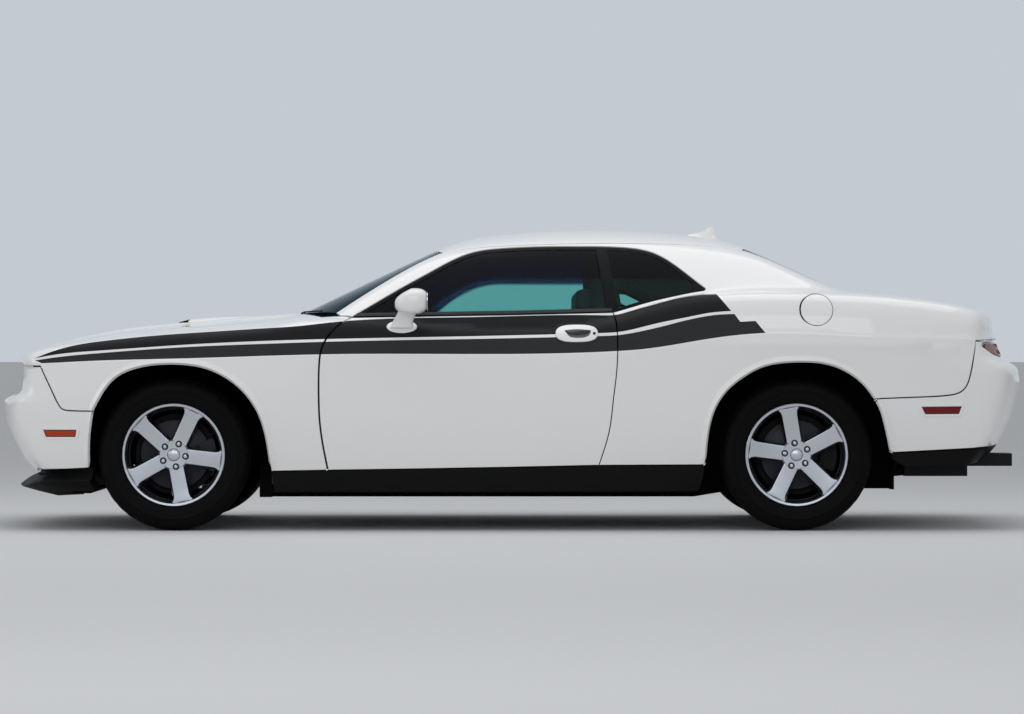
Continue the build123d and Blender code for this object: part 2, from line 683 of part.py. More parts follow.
# Rear subframe with differential, half shafts, arms and uprights
boot_floor_z = 480.0
with BuildPart() as rear_subframe:
    add(block((rear_axle_x - 100, rear_axle_x - 40), (-520, 520), (262, boot_floor_z - 25 - fit)))
    add(rod((rear_axle_x, -150, wheel_z), (rear_axle_x, 150, wheel_z), 95))
    add(block((rear_axle_x - 90, rear_axle_x), (-60, 60), (270, 440)))
    add(rod((rear_axle_x, -730, wheel_z), (rear_axle_x, 730, wheel_z), 19))
    for side in (-1, 1):
        left = upright(rear_axle_x, 1)
        add(left if side < 0 else mirror(left, about=Plane.XZ, mode=Mode.PRIVATE))
        inner, outer = sorted((side * 420, side * 750))
        add(block((rear_axle_x - 95, rear_axle_x - 55), (inner, outer), (262, 300)))
        add(block((rear_axle_x - 95, rear_axle_x + 35), tuple(sorted((side * 724, side * 750))), (255, 290)))
finish(rear_subframe.part, "rear_subframe")

# Floor with tunnel, seat riser, boot floor, wheelhouses, rear wall and bumper beam
floor_z = (190.0, 215.0)
bulkhead_x = (-1000.0, -975.0)
tunnel_half = 150.0
seat_riser_x = 840.0
seat_floor_z = 330.0
boot_front_x = 1240.0
rear_wall_x = (2320.0, 2345.0)
tub_wall = 15.0
inner_half = cabin_half_width - fit
with BuildPart() as floor_pan:
    add(block((bulkhead_x[1], seat_riser_x), (-inner_half, inner_half), floor_z))
    add(block((bulkhead_x[1], seat_riser_x), (-tunnel_half, tunnel_half), (floor_z[0], 400)))
    add(block((bulkhead_x[1] - 10, seat_riser_x), (-tunnel_half + 20, tunnel_half - 20), (floor_z[0] - 10, 380)),
        mode=Mode.SUBTRACT)
    add(block((seat_riser_x - 25, seat_riser_x), (-inner_half, inner_half), (floor_z[0], seat_floor_z)))
    add(block((seat_riser_x - 25, boot_front_x), (-inner_half, inner_half), (seat_floor_z - 25, seat_floor_z)))
    add(block((boot_front_x - 25, boot_front_x), (-inner_half, inner_half), (seat_floor_z - 25, 1060)))
    add(block((boot_front_x - 25, rear_wall_x[1]), (-720, 720), (boot_floor_z - 25, boot_floor_z)))
    add(block((boot_front_x - 25, deck_front_x - seam_gap), (-640, 640), (1035, 1060)))
    add(block((deck_front_x - 26, deck_front_x - seam_gap), (-600, 600), (1035, 1200)))
    add(block((deck_front_x + 10, deck_front_x + 60), (-590, -560), (1035, 1200)))
    add(block((deck_front_x + 10, deck_front_x + 60), (560, 590), (1035, 1200)))
    add(block((deck_front_x - 30, deck_front_x + 60), (-590, 590), (1035, 1060)))
    add(block(rear_wall_x, (-720, 720), (boot_floor_z - 25, 892)))
    add(block((rear_wall_x[1], tail_x), (-600, 600), (570, 680)))
    add(block((plate_face_x - plate_wall - fit, tail_x),
              (-plate_recess[0] - plate_wall - fit, plate_recess[0] + plate_wall + fit), (500, 760)), mode=Mode.SUBTRACT)
    add(arch_prism(rear_axle_x, arch_rear, 15 + tub_wall, rear_well_depth - tub_wall, far))
    add(arch_prism(rear_axle_x, arch_rear, 15 + tub_wall, -far, -rear_well_depth + tub_wall))
    add(arch_prism(rear_axle_x, arch_rear, 15, rear_well_depth, far + 1), mode=Mode.SUBTRACT)
    add(arch_prism(rear_axle_x, arch_rear, 15, -far - 1, -rear_well_depth), mode=Mode.SUBTRACT)
    add(block((rear_axle_x - 600, rear_axle_x + 600), (-far, far), (0, floor_z[0])), mode=Mode.SUBTRACT)
    for side in (-1, 1):
        add(block((rear_axle_x - 110, rear_axle_x + 60), tuple(sorted((side * 600, side * far))), (0, 400)),
            mode=Mode.SUBTRACT)
    add(block((rear_axle_x - 600, rear_axle_x + 600), (-far, -inner_half), (0, 320)), mode=Mode.SUBTRACT)
    add(block((rear_axle_x - 600, rear_axle_x + 600), (inner_half, far), (0, 320)), mode=Mode.SUBTRACT)
    add(hull_clear, mode=Mode.INTERSECT)
    add(block((380, pillar_end + fit), (-far, -cabin_half_width), (300, 1000)), mode=Mode.SUBTRACT)
    add(block((380, pillar_end + fit), (cabin_half_width, far), (300, 1000)), mode=Mode.SUBTRACT)
    for x in (front_axle_x + 680, rear_axle_x - 590):
        for side in (-1, 1):
            add(block((x - 35, x + 35), tuple(sorted((side * 690, side * 750))), (160, floor_z[0] + 5)))
finish(floor_pan.part, "floor_pan")

# Front structure: bulkhead, cowl tray, aprons, rails, radiator panel, bumper beam, hinge pillars
radiator_x = (-2309.7, -2285.0)
apron_y = (470.0, 485.0)
with BuildPart() as front_structure:
    add(block(bulkhead_x, (-inner_half, inner_half), (floor_z[0], 945)))
    add(block((bulkhead_x[0], bulkhead_x[1] + 110), (-745, 745), (925, 945)))
    add(block((bulkhead_x[0] - 80, bulkhead_x[1]), (-745, 745), (925, 945)))
    add(block(radiator_x, (-apron_y[1], apron_y[1]), (300, 760)))
    add(block((nose_x, radiator_x[0]), (-560, 560), (486, 596)))
    for side in (-1, 1):
        add(block((radiator_x[0], bulkhead_x[0]), tuple(sorted((side * rail_y[0], side * rail_y[1]))), (300, 385)))
        add(block((radiator_x[0], bulkhead_x[0]), tuple(sorted((side * rail_y[1], side * apron_y[1]))), (361, 385)))
        add(block((radiator_x[0], bulkhead_x[0]), tuple(sorted((side * apron_y[0], side * apron_y[1]))), (361, 800)))
        add(block((front_axle_x + 480, front_axle_x + 495), tuple(sorted((side * apron_y[0], side * far))), (330, 900)))
        add(block((bulkhead_x[0], bulkhead_x[1] + 35), tuple(sorted((side * 740, side * (hinge_y + 4)))), (320, 905)))
        add(block((-965, -905), tuple(sorted((side * 690, side * 725))), (940, 1100)))
        add(block((front_axle_x - 46, front_axle_x + 46), tuple(sorted((side * 444, side * 467))), (340, 520)),
            mode=Mode.SUBTRACT)
        add(block((front_axle_x - 46, front_axle_x + 46), tuple(sorted((side * 444, side * 486))), (455, 520)),
            mode=Mode.SUBTRACT)
    add(hinge_pockets.part, mode=Mode.SUBTRACT)
    for side in (-1, 1):
        for z in hinge_z:
            add(rod((hinge_x, side * hinge_y, z - 14), (hinge_x, side * hinge_y, z - fit), hinge_boss))
            add(rod((hinge_x, side * hinge_y, z - 7.3), (-958, side * (hinge_y - 70), z - 7.3), 6.5))
    add(hull_clear, mode=Mode.INTERSECT)
finish(front_structure.part, "front_structure")

# Engine with gearbox, one block
with BuildPart() as engine:
    add(block((front_axle_x - 180, -1050), (-290, 290), (300, 860)))
finish(engine.part, "engine")

# Grille panel behind both front openings
grille_x = (radiator_x[0] - 20 - fit, radiator_x[0] - fit)
with BuildPart() as grille:
    add(block(grille_x, (-780, 780), (602, 765)))
    add(block(grille_x, (-600, 600), (300, 480)))
    add(hull_clear, mode=Mode.INTERSECT)
finish(grille.part, "grille")

lamp_radius = 62.0
lamp_places = [(-645, 705), (-455, 705), (455, 705), (645, 705)]
with BuildPart() as headlamps:
    for y, z in lamp_places:
        add(rod((grille_x[0] - fit, y, z), (grille_x[0] - 62, y, z), lamp_radius))
finish(headlamps.part, "headlamps")

with BuildPart() as tail_lamps:
    add(lower_body(8))
    add(side_prism(lamp_region, 0, -far, far), mode=Mode.INTERSECT)
    add(hull_inside, mode=Mode.SUBTRACT)
finish(tail_lamps.part, "tail_lamps")

marker_depth = 3.0
marker_outlines = [
    [(-2215, 443), (-2224, 478), (-2062, 478), (-2054, 443)], [(1936, 551), (1944, 587), (2132, 587), (2124, 551)],
]
with BuildPart() as side_markers:
    add(lower_body(-marker_depth))
    with BuildPart(mode=Mode.PRIVATE) as marks:
        for outline in marker_outlines:
            add(side_prism(outline, 0, -far, far))
    add(marks.part, mode=Mode.INTERSECT)
    add(hull_outside, mode=Mode.SUBTRACT)
finish(side_markers.part, "side_markers")

# Black lower trim: chin splitter, sill covers, rear valance with cutouts for the exhaust tips
splitter_plan = [(98, 0), (120, 330), (165, 600), (290, 815), (520, 905), (520, 0)]
tip_y = (520.0, 690.0)
tip_z = (300.0, 360.0)
with BuildPart() as lower_trim:
    with BuildSketch(Plane.XY.offset(192)):
        with BuildLine():
            half = [(nose_x + back, -y) for back, y in splitter_plan]
            Polyline(*half, *[(x, -y) for x, y in half[-2:0:-1]], close=True)
        make_face()
    extrude(amount=262 - fit - 192)
    with BuildSketch(Plane.XY.offset(154)):
        with BuildLine():
            half = [(nose_x + min(back + 165, 520), -y * 0.93) for back, y in splitter_plan[:-1]] + [(nose_x + 520, 0)]
            Polyline(*half, *[(x, -y) for x, y in half[-2:0:-1]], close=True)
        make_face()
    extrude(amount=45)
    add(block((nose_x + 420, 0), (-240 * 3, 240 * 3), (100, 300)), mode=Mode.SUBTRACT)
    with BuildPart(mode=Mode.PRIVATE) as sill_covers:
        add(side_prism(sill_region, 0, -far, far))
        add(hull, mode=Mode.INTERSECT)
        add(block((front_axle_x + 440, rear_axle_x - 380), (-cabin_half_width, cabin_half_width), (0, 400)),
            mode=Mode.SUBTRACT)
        add(arches[0], mode=Mode.SUBTRACT)
        add(arches[1], mode=Mode.SUBTRACT)
    add(sill_covers.part)
    with BuildPart(mode=Mode.PRIVATE) as valance:
        add(hull_skin.part)
        add(block((rear_axle_x + 300, tail_x), (-far, far), valance_z), mode=Mode.INTERSECT)
        add(arches[1], mode=Mode.SUBTRACT)
        for side in (-1, 1):
            add(block((tail_x - 500, tail_x), tuple(sorted((side * (tip_y[0] - 8), side * (tip_y[1] + 8)))),
                      (tip_z[0] - 50, tip_z[1] + 8)), mode=Mode.SUBTRACT)
    add(valance.part)
finish(lower_trim.part, "lower_trim")

# Exhaust: mufflers high behind the valance, tips and the two pipes under the floor
muffler_x, muffler_y, muffler_z = (1880.0, 2180.0), (430.0, 700.0), (252.0, 376.0)
pipe_radius, pipe_z, pipe_bend_x, pipe_out_y = 28.0, 160.0, (900.0, 1150.0), (90.0, 330.0)
tip_end_x, hanger_x, hanger_y, hanger_radius = 2395.0, 2030.0, 560.0, 12.0
muffler_inlet_z = muffler_z[0] + pipe_radius
with BuildPart() as exhaust:
    for side in (-1, 1):
        add(block(muffler_x, tuple(sorted(side * y for y in muffler_y)), muffler_z))
        add(rod((hanger_x, side * hanger_y, muffler_z[1] - 10), (hanger_x, side * hanger_y, boot_floor_z - 25 - fit),
                hanger_radius))
        add(block((muffler_x[1] - 30, tip_end_x), tuple(sorted(side * y for y in tip_y)), tip_z))
        bend = [(-1200, side * pipe_out_y[0], pipe_z), (pipe_bend_x[0], side * pipe_out_y[0], pipe_z),
                (pipe_bend_x[1], side * pipe_out_y[1], 212), (muffler_x[0] + 20, side * hanger_y, muffler_inlet_z)]
        for start, end in zip(bend, bend[1:]):
            add(rod(start, end, pipe_radius))
    add(block((-1240, -1180), (-120, 120), (130, 300 - fit)))
finish(exhaust.part, "exhaust")

# Cabin
seat_y = 400.0
seat_half = 245.0
wheel_ring = 178.0
column_tilt = 22.0
column_length = 108.0
ring_centre = (-501.0, -seat_y, 916.0)
column = Plane(origin=ring_centre, x_dir=(0, 1, 0),
               z_dir=(cos(radians(column_tilt)), 0, sin(radians(column_tilt))))
dash_x = (bulkhead_x[1] + fit, -640.0)
with BuildPart() as dashboard:
    with BuildSketch(Plane(origin=(0, 735, 0), x_dir=(1, 0, 0), z_dir=(0, -1, 0))):
        with BuildLine():
            Polyline((dash_x[0], 640), (dash_x[0], 950), (-760, 985), (-650, 960), (-635, 880), (-690, 700),
                     (-720, 640), close=True)
        make_face()
    extrude(amount=2 * 735)
    add(block((-720, -100), (-125, 125), (405, 620)))
    add(block((-760, -690), (-125, 125), (405, 700)))
    add(hull, mode=Mode.INTERSECT)
    add(block((bulkhead_x[0], bulkhead_x[1] + 110 + fit), (-770, 770), (925 - fit, 1000)), mode=Mode.SUBTRACT)
    with BuildSketch(column.offset(-column_length - fit)):
        Circle(32)
    extrude(amount=-90)
finish(dashboard.part, "dashboard")

with BuildPart() as steering_wheel:
    with BuildSketch(Plane(origin=ring_centre, x_dir=column.x_dir, z_dir=column.y_dir)):
        with Locations((wheel_ring, 0)):
            Circle(14)
    revolve(axis=Axis(ring_centre, tuple(column.z_dir)))
    with BuildSketch(column.offset(-12)):
        Rectangle(2 * wheel_ring, 34)
        with Locations((0, -wheel_ring / 2)):
            Rectangle(34, wheel_ring)
        Circle(58)
    extrude(amount=24)
    with BuildSketch(column.offset(-column_length)):
        Circle(24)
    extrude(amount=column_length - 8)
finish(steering_wheel.part, "steering_wheel")

seat_side = [
    (-420, 330), (-430, 455), (-395, 478), (70, 432), (95, 470), (262, 985), (300, 1010), (318, 1150), (398, 1150),
    (378, 1015), (385, 975), (215, 420), (180, 330),
]
with BuildPart() as seat:
    with BuildSketch(Plane(origin=(0, -seat_y + seat_half, 0), x_dir=(1, 0, 0), z_dir=(0, -1, 0))):
        with BuildLine():
            Polyline(*seat_side, close=True)
        make_face()
    extrude(amount=2 * seat_half)
    add(block((240, 420), (-seat_y - seat_half, -seat_y - 130), (1012, 1200)), mode=Mode.SUBTRACT)
    add(block((240, 420), (-seat_y + 130, -seat_y + seat_half), (1012, 1200)), mode=Mode.SUBTRACT)
    add(block((-380, 160), (-seat_y - 190, -seat_y + 190), (floor_z[1] + fit, 340)))
both_sides(seat.part, "seat")

with BuildPart() as rear_seat:
    with BuildSketch(Plane(origin=(0, 610, 0), x_dir=(1, 0, 0), z_dir=(0, -1, 0))):
        with BuildLine():
            Polyline((760, seat_floor_z + fit), (720, 430), (740, 480), (1010, 450), (1160, 990),
                     (boot_front_x - 25 - fit, 1000), (boot_front_x - 25 - fit, seat_floor_z + fit), close=True)
        make_face()
    extrude(amount=1220)
    add(block((700, seat_riser_x + fit), (-700, 700), (300, 400 + fit)), mode=Mode.SUBTRACT)
    add(hull_clear, mode=Mode.INTERSECT)
    add(arch_prism(rear_axle_x, arch_rear, 15 + tub_wall + fit, rear_well_depth - tub_wall - fit, far),
        mode=Mode.SUBTRACT)
    add(arch_prism(rear_axle_x, arch_rear, 15 + tub_wall + fit, -far, -rear_well_depth + tub_wall + fit),
        mode=Mode.SUBTRACT)
finish(rear_seat.part, "rear_seat")
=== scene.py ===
"""Dresses the two-door muscle car: painted panels, glass, wheels, lamps, cabin and a plain studio.

Everything is in metres: the front points to -X, the car's left side to -Y, up is +Z.
The painted skin is one smooth body surface. Each panel is an outline on it that is filled with triangles,
lifted onto the surface and given a rolled edge and a back."""

import math

import bmesh
import bpy
import numpy as np
from bpy.props import FloatProperty, PointerProperty, StringProperty
from mathutils import Matrix, Vector
from mathutils.geometry import delaunay_2d_cdt


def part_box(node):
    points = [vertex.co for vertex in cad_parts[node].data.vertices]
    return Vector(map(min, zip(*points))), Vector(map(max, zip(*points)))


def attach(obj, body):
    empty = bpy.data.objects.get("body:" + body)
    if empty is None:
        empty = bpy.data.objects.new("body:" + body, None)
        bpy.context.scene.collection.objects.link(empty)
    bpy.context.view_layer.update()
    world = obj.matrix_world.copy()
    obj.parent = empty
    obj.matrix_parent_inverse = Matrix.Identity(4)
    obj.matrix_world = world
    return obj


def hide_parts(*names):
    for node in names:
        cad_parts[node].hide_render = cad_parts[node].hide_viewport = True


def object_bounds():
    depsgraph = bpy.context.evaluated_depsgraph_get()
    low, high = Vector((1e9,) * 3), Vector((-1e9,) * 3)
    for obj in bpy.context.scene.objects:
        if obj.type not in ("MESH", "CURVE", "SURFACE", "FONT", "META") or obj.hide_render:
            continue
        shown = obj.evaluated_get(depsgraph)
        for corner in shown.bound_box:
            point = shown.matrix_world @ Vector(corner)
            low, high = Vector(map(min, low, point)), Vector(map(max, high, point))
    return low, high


bl_info = {
    "name": "Muscle car dresser",
    "version": (1, 0, 0),
    "blender": (4, 5, 0),
    "location": "View3D > Sidebar > Car",
    "description": "Builds the painted panels, glass, wheels, lamps and cabin of a two-door muscle car",
    "category": "Object",
}

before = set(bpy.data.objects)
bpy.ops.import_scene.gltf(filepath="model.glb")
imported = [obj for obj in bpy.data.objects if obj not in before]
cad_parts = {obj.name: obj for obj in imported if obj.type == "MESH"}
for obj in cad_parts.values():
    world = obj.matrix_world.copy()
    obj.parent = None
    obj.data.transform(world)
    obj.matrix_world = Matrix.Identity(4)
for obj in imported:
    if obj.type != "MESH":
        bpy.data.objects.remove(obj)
CAD_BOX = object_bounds()

MM = 0.001
SIDES = (("left", -1), ("right", 1))
LEFT_RIGHT = ("left", "right")
ENDS = ("front", "rear")


def middle(node):
    """The centre of a node's box."""
    low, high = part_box(node)
    return [(a + b) / 2 for a, b in zip(low, high)]


AXLE_X = {end: middle(f"tyre_{end}_left")[0] for end in ENDS}
WHEEL_Z = middle("tyre_front_left")[2]
WHEEL_Y = abs(middle("tyre_front_left")[1])
NOSE_X, TAIL_X = CAD_BOX[0][0], CAD_BOX[1][0]
HALF_WIDTH = 0.9615
# The painted ends stand this far behind the foremost and rearmost points
END_SET = 0.020
FRONT_X, REAR_X = AXLE_X["front"], AXLE_X["rear"]


# ---- the body surface ----------------------------------------------------------------------------

# Columns: x, sill inset, waist inset, crease z, crease inset, edge z, edge inset, crown z, in metres
SECTIONS = np.array([
    (NOSE_X, 0.110, 0.040, 0.786, 0.044, 0.812, 0.112, 0.850),
    (NOSE_X + 0.311, 0.095, 0.022, 0.792, 0.026, 0.884, 0.112, 0.907),
    (FRONT_X - 0.395, 0.085, 0.010, 0.802, 0.012, 0.914, 0.106, 0.951),
    (FRONT_X, 0.078, 0.002, 0.813, 0.004, 0.950, 0.098, 0.996),
    (FRONT_X + 0.395, 0.074, 0.007, 0.825, 0.008, 0.976, 0.098, 1.028),
    (FRONT_X + 0.735, 0.072, 0.011, 0.834, 0.010, 1.003, 0.108, 1.050),
    (REAR_X - 0.850, 0.072, 0.011, 0.849, 0.010, 1.022, 0.118, 1.100),
    (REAR_X - 0.730, 0.072, 0.010, 0.858, 0.009, 1.056, 0.124, 1.115),
    (REAR_X - 0.430, 0.074, 0.005, 0.905, 0.004, 1.116, 0.118, 1.140),
    (REAR_X - 0.155, 0.078, 0.000, 0.934, 0.000, 1.128, 0.104, 1.150),
    (REAR_X + 0.300, 0.085, 0.003, 0.921, 0.003, 1.116, 0.106, 1.138),
    (REAR_X + 0.650, 0.095, 0.016, 0.908, 0.016, 1.088, 0.124, 1.107),
    (TAIL_X - 0.120, 0.108, 0.036, 0.899, 0.039, 1.030, 0.160, 1.043),
    (TAIL_X + 0.100, 0.118, 0.046, 0.893, 0.050, 1.000, 0.180, 1.010),
])
# Columns: z, how far the middle of the nose lies behind its foremost point
NOSE_PROFILE = np.array([
    (0.10, 0.215), (0.256, 0.172), (0.33, 0.102), (0.417, 0.052), (0.49, 0.020), (0.546, 0.006), (0.590, 0.0),
    (0.613, 0.001), (0.625, 0.018), (0.644, 0.072), (0.657, 0.088), (0.713, 0.096), (0.772, 0.094),
    (0.815, 0.088), (0.838, 0.098), (0.864, 0.150), (0.95, 0.400),
])
TAIL_PROFILE = np.array([
    (0.10, 0.300), (0.302, 0.181), (0.395, 0.101), (0.470, 0.064), (0.548, 0.041), (0.655, 0.012),
    (0.738, 0.0), (0.764, 0.002), (0.781, 0.018), (0.808, 0.072), (0.820, 0.095), (0.871, 0.122),
    (0.940, 0.125), (0.987, 0.119), (1.030, 0.124), (1.050, 0.150), (1.12, 0.30),
])


def natural_spline(xs, ys):
    """The second derivatives of the natural cubic spline through the points."""
    n = len(xs)
    a, b = np.eye(n), np.zeros(n)
    h = np.diff(xs)
    for i in range(1, n - 1):
        a[i, i - 1 : i + 2] = h[i - 1], 2 * (h[i - 1] + h[i]), h[i]
        b[i] = 6 * ((ys[i + 1] - ys[i]) / h[i] - (ys[i] - ys[i - 1]) / h[i - 1])
    return np.linalg.solve(a, b)


SECTION_CURVES = [natural_spline(SECTIONS[:, 0], SECTIONS[:, k]) for k in range(1, SECTIONS.shape[1])]


def along(column, x):
    """A column of the section table as a smooth curve over x."""
    xs, ys, m = SECTIONS[:, 0], SECTIONS[:, column], SECTION_CURVES[column - 1]
    i = np.clip(np.searchsorted(xs, x) - 1, 0, len(xs) - 2)
    h = xs[i + 1] - xs[i]
    a, b = (xs[i + 1] - x) / h, (x - xs[i]) / h
    return a * ys[i] + b * ys[i + 1] + ((a**3 - a) * m[i] + (b**3 - b) * m[i + 1]) * h * h / 6


def eased(table, z, reach):
    """A table read at z, with its corners eased over reach."""
    return sum(
        w * np.interp(z + reach * s, table[:, 0], table[:, 1])
        for s, w in ((-1, 0.15), (-0.5, 0.2), (0, 0.3), (0.5, 0.2), (1, 0.15))
    )


def smax(a, b, k):
    """The larger of two distances, rounded where they meet: k is about the radius."""
    return 0.5 * (a + b + np.sqrt((a - b) ** 2 + k * k))


def smooth_step(x, low, high):
    """0 below low, 1 above high, and an even curve between."""
    t = np.clip((x - low) / (high - low), 0, 1)
    return t * t * (3 - 2 * t)


# Columns: x and z of points along each wheel arch's edge, from the wheel's centre
ARCHES = {
    "front": [
        (-0.399, -0.062), (-0.398, 0.070), (-0.3755, 0.207), (-0.333, 0.296), (-0.2665, 0.372),
        (-0.150, 0.420), (0.0, 0.434), (0.1635, 0.411), (0.248, 0.372), (0.3205, 0.317), (0.4055, 0.199),
        (0.446, 0.060), (0.4635, -0.078),
    ],
    "rear": [
        (-0.4365, -0.050), (-0.4225, 0.112), (-0.3975, 0.208), (-0.3295, 0.314), (-0.2575, 0.372),
        (-0.1765, 0.416), (0.0, 0.443), (0.153, 0.429), (0.243, 0.3905), (0.3266, 0.321), (0.3819, 0.238),
        (0.4166, 0.1336), (0.4443, 0.0086),
    ],
}
LIP_WIDTH, LIP_STEP, LIP_RISE = 0.022, 0.004, 0.012
# A fine ridge runs round the lip, which fades out between two heights at the foot of each arch
RIDGE_RISE, RIDGE_REACH = 0.0015, 0.2
LIP_FADE = {"front": (0.27, 0.33), "rear": (0.29, 0.35)}


def arch_radius(end, turn):
    """The arch's distance from the wheel's centre in each direction, turn measured from straight up."""
    p = np.array(ARCHES[end])
    return np.interp(turn, np.arctan2(p[:, 0], p[:, 1]), np.hypot(p[:, 0], p[:, 1]))


def arch_lip(x, z):
    """How far the rolled lip round each wheel arch stands proud."""
    out = 0.0
    for end in ENDS:
        dx, dz = x - AXLE_X[end], z - WHEEL_Z
        past = np.hypot(dx, dz) - arch_radius(end, np.arctan2(dx, dz))
        flare = LIP_RISE * np.clip(1 - past / LIP_WIDTH, 0, 1.1)
        ridge = RIDGE_RISE * (1 - smooth_step(past, LIP_WIDTH, LIP_WIDTH + LIP_STEP)) * (past < RIDGE_REACH)
        out = out + (flare + ridge) * smooth_step(z, *LIP_FADE[end])
    return out


# The side is fullest at WAIST_Z; SILL_DROP below it stands the sill, SILL_PROUD outside the table's inset
WAIST_Z, SILL_DROP, SILL_PROUD = 0.64, 0.34, 0.030
# Above the crease the side steps in a little, then leans in toward the shoulder's edge
CREASE_STEP, EDGE_STEP = 0.004, 0.004


def side_inset(x, z):
    """How far the side lies inside half the body's width."""
    sill, waist, crease_z, crease, edge_z, edge = (along(k, x) for k in range(1, 7))
    low = waist + (sill - SILL_PROUD - waist) * np.maximum((WAIST_Z - z) / SILL_DROP, 0) ** 2.1
    mid = waist + (crease - waist) * np.clip((z - WAIST_Z) / (crease_z - WAIST_Z), 0, 1) ** 2
    t = np.maximum(z - crease_z, 0) / (edge_z - crease_z)
    high = crease + CREASE_STEP * smooth_step(t, 0, 0.10) + (edge - crease) * (0.20 * t + 0.36 * t**3)
    return np.where(z < WAIST_Z, low, np.where(z < crease_z, mid, high))


# The hood beside its raised middle lies this much lower; the step runs between two distances from the middle
HOOD_STEP, HOOD_STEP_FROM, HOOD_STEP_TO = 0.012, 0.345, 0.405


def top_height(x, y):
    """The hood's, deck's and shoulder's height."""
    edge_z, edge, crown = along(5, x), along(6, x), along(7, x)
    reach = HALF_WIDTH - edge
    height = edge_z + EDGE_STEP + (crown - edge_z - EDGE_STEP) * (1 - np.abs(y / reach) ** 2.3)
    hood = smooth_step(x, NOSE_X + 0.12, NOSE_X + 0.45) * (1 - smooth_step(x, FRONT_X + 0.45, FRONT_X + 0.62))
    raised = 1 - smooth_step(np.abs(y), HOOD_STEP_FROM, HOOD_STEP_TO)
    return height - hood * HOOD_STEP * (1 - raised)


# How fast the nose and the tail sweep back per metre squared off the middle; the nose bows less above
# its bumper
NOSE_BOW, NOSE_BOW_LOST, TAIL_BOW = 0.16, 0.042, 0.17
# How far the tail stands proud where the rear beam and the rear wall fill it out
BEAM_PROUD, WALL_PROUD = 0.014, 0.022
# About the radius where side and top, then the nose, then the tail meet
SHOULDER_ROUND, NOSE_ROUND, TAIL_ROUND = 0.030, 0.055, 0.050


def body_gap(x, y, z):
    """Below zero inside the lower body, above it outside, about the distance near its surface."""
    across = np.abs(y)
    inset = sum(w * side_inset(x, z + s) for s, w in ((-0.003, 0.35), (0, 0.3), (0.003, 0.35)))
    side = across - HALF_WIDTH + inset - arch_lip(x, z)
    top = z - top_height(x, y)
    bow = NOSE_BOW - NOSE_BOW_LOST * smooth_step(z, 0.60, 0.66)
    nose = NOSE_X + END_SET + eased(NOSE_PROFILE, z, 0.010) + bow * across**2 - x
    nose = nose / np.sqrt(1 + (2 * bow * across) ** 2)
    # The rear beam and the rear wall fill the tail out a little on both sides of its middle
    full = smooth_step(across, 0.28, 0.46) * (1 - smooth_step(across, 0.66, 0.84))
    beam = BEAM_PROUD * smooth_step(z, 0.47, 0.56) * (1 - smooth_step(z, 0.69, 0.75))
    wall = WALL_PROUD * smooth_step(z, 0.79, 0.83) * (1 - smooth_step(z, 0.90, 0.95))
    tail = x - TAIL_X + END_SET + eased(TAIL_PROFILE, z, 0.010) + TAIL_BOW * across**2 - full * (beam + wall)
    tail = tail / np.sqrt(1 + (2 * TAIL_BOW * across) ** 2)
    shoulder = smax(side, top, SHOULDER_ROUND)
    return smax(smax(shoulder, nose, NOSE_ROUND), tail, TAIL_ROUND)


# The cabin's side at BELT_Z and how it leans and bows in per metre up, then the roof's top, its middle and
# its bows
BELT_Z, BELT_HALF, SIDE_LEAN, SIDE_BOW = 1.04, 0.835, 0.62, 0.42
ROOF_Z, ROOF_X, ROOF_BOW_X, ROOF_BOW_Y = 1.449, 0.40, 0.086, 0.18
# Windshield and rear window: x at BELT_Z, slope, bow across at the foot and how it eases going up
SHIELD_FACE = (-1.031, 2.087, 0.331, 0.53)
BACK_FACE = (1.858, 2.16, 0.228, 0.08)


def cabin_gap(x, y, z):
    """The same for the cabin above the belt. The divisors turn each run into about a distance."""
    across = np.abs(y)
    up = z - BELT_Z
    side = (across - (BELT_HALF - SIDE_LEAN * up - SIDE_BOW * up**2)) / 1.22
    up_glass = np.clip(up, -0.2, 0.5)
    foot, slope, bow, ease = SHIELD_FACE
    shield = (foot + slope * up + (bow - ease * up_glass) * y**2 - x) / 2.31
    foot, slope, bow, ease = BACK_FACE
    back = (x - (foot - slope * up - (bow - ease * up_glass) * y**2)) / 2.38
    roof = z - (ROOF_Z - ROOF_BOW_X * (x - ROOF_X) ** 2 - ROOF_BOW_Y * y**2)
    return smax(smax(smax(side, roof, 0.045), shield, 0.040), back, 0.035)


# The cabin goes no lower than this, and a fillet joins it to the quarter panels behind the doors
CABIN_FOOT = 0.90
PILLAR_FILLET, FILLET_FROM, FILLET_TO = 0.030, 0.80, 1.20


def car_gap(x, y, z):
    """Body and cabin together, with a soft fillet where the rear pillars run into the quarter panels."""
    a, b = body_gap(x, y, z), np.maximum(cabin_gap(x, y, z), CABIN_FOOT - z)
    return -smax(-a, -b, 0.001 + PILLAR_FILLET * smooth_step(x, FILLET_FROM, FILLET_TO))


# A ray is halved this often between a point inside the body and one well outside it
RAY_HALVINGS, RAY_NEAR, RAY_FAR = 38, 0.05, 3.2


def cast(gap, origin, direction, level=0.0):
    """Where rays leave the body, at a distance level outside its surface."""
    near, away = np.full(len(origin), RAY_NEAR), np.full(len(origin), RAY_FAR)
    for _ in range(RAY_HALVINGS):
        half = (near + away) / 2
        p = origin + direction * half[:, None]
        inside = gap(p[:, 0], p[:, 1], p[:, 2]) < level
        near, away = np.where(inside, half, near), np.where(inside, away, half)
    return origin + direction * half[:, None]


def normals(gap, p, step=0.0012):
    """The surface's outward directions, from differences over two steps."""
    out = np.empty_like(p)
    for k in range(3):
        e = np.zeros(3)
        e[k] = step
        a, b = p + e, p - e
        out[:, k] = gap(a[:, 0], a[:, 1], a[:, 2]) - gap(b[:, 0], b[:, 1], b[:, 2])
    return out / np.linalg.norm(out, axis=1, keepdims=True)


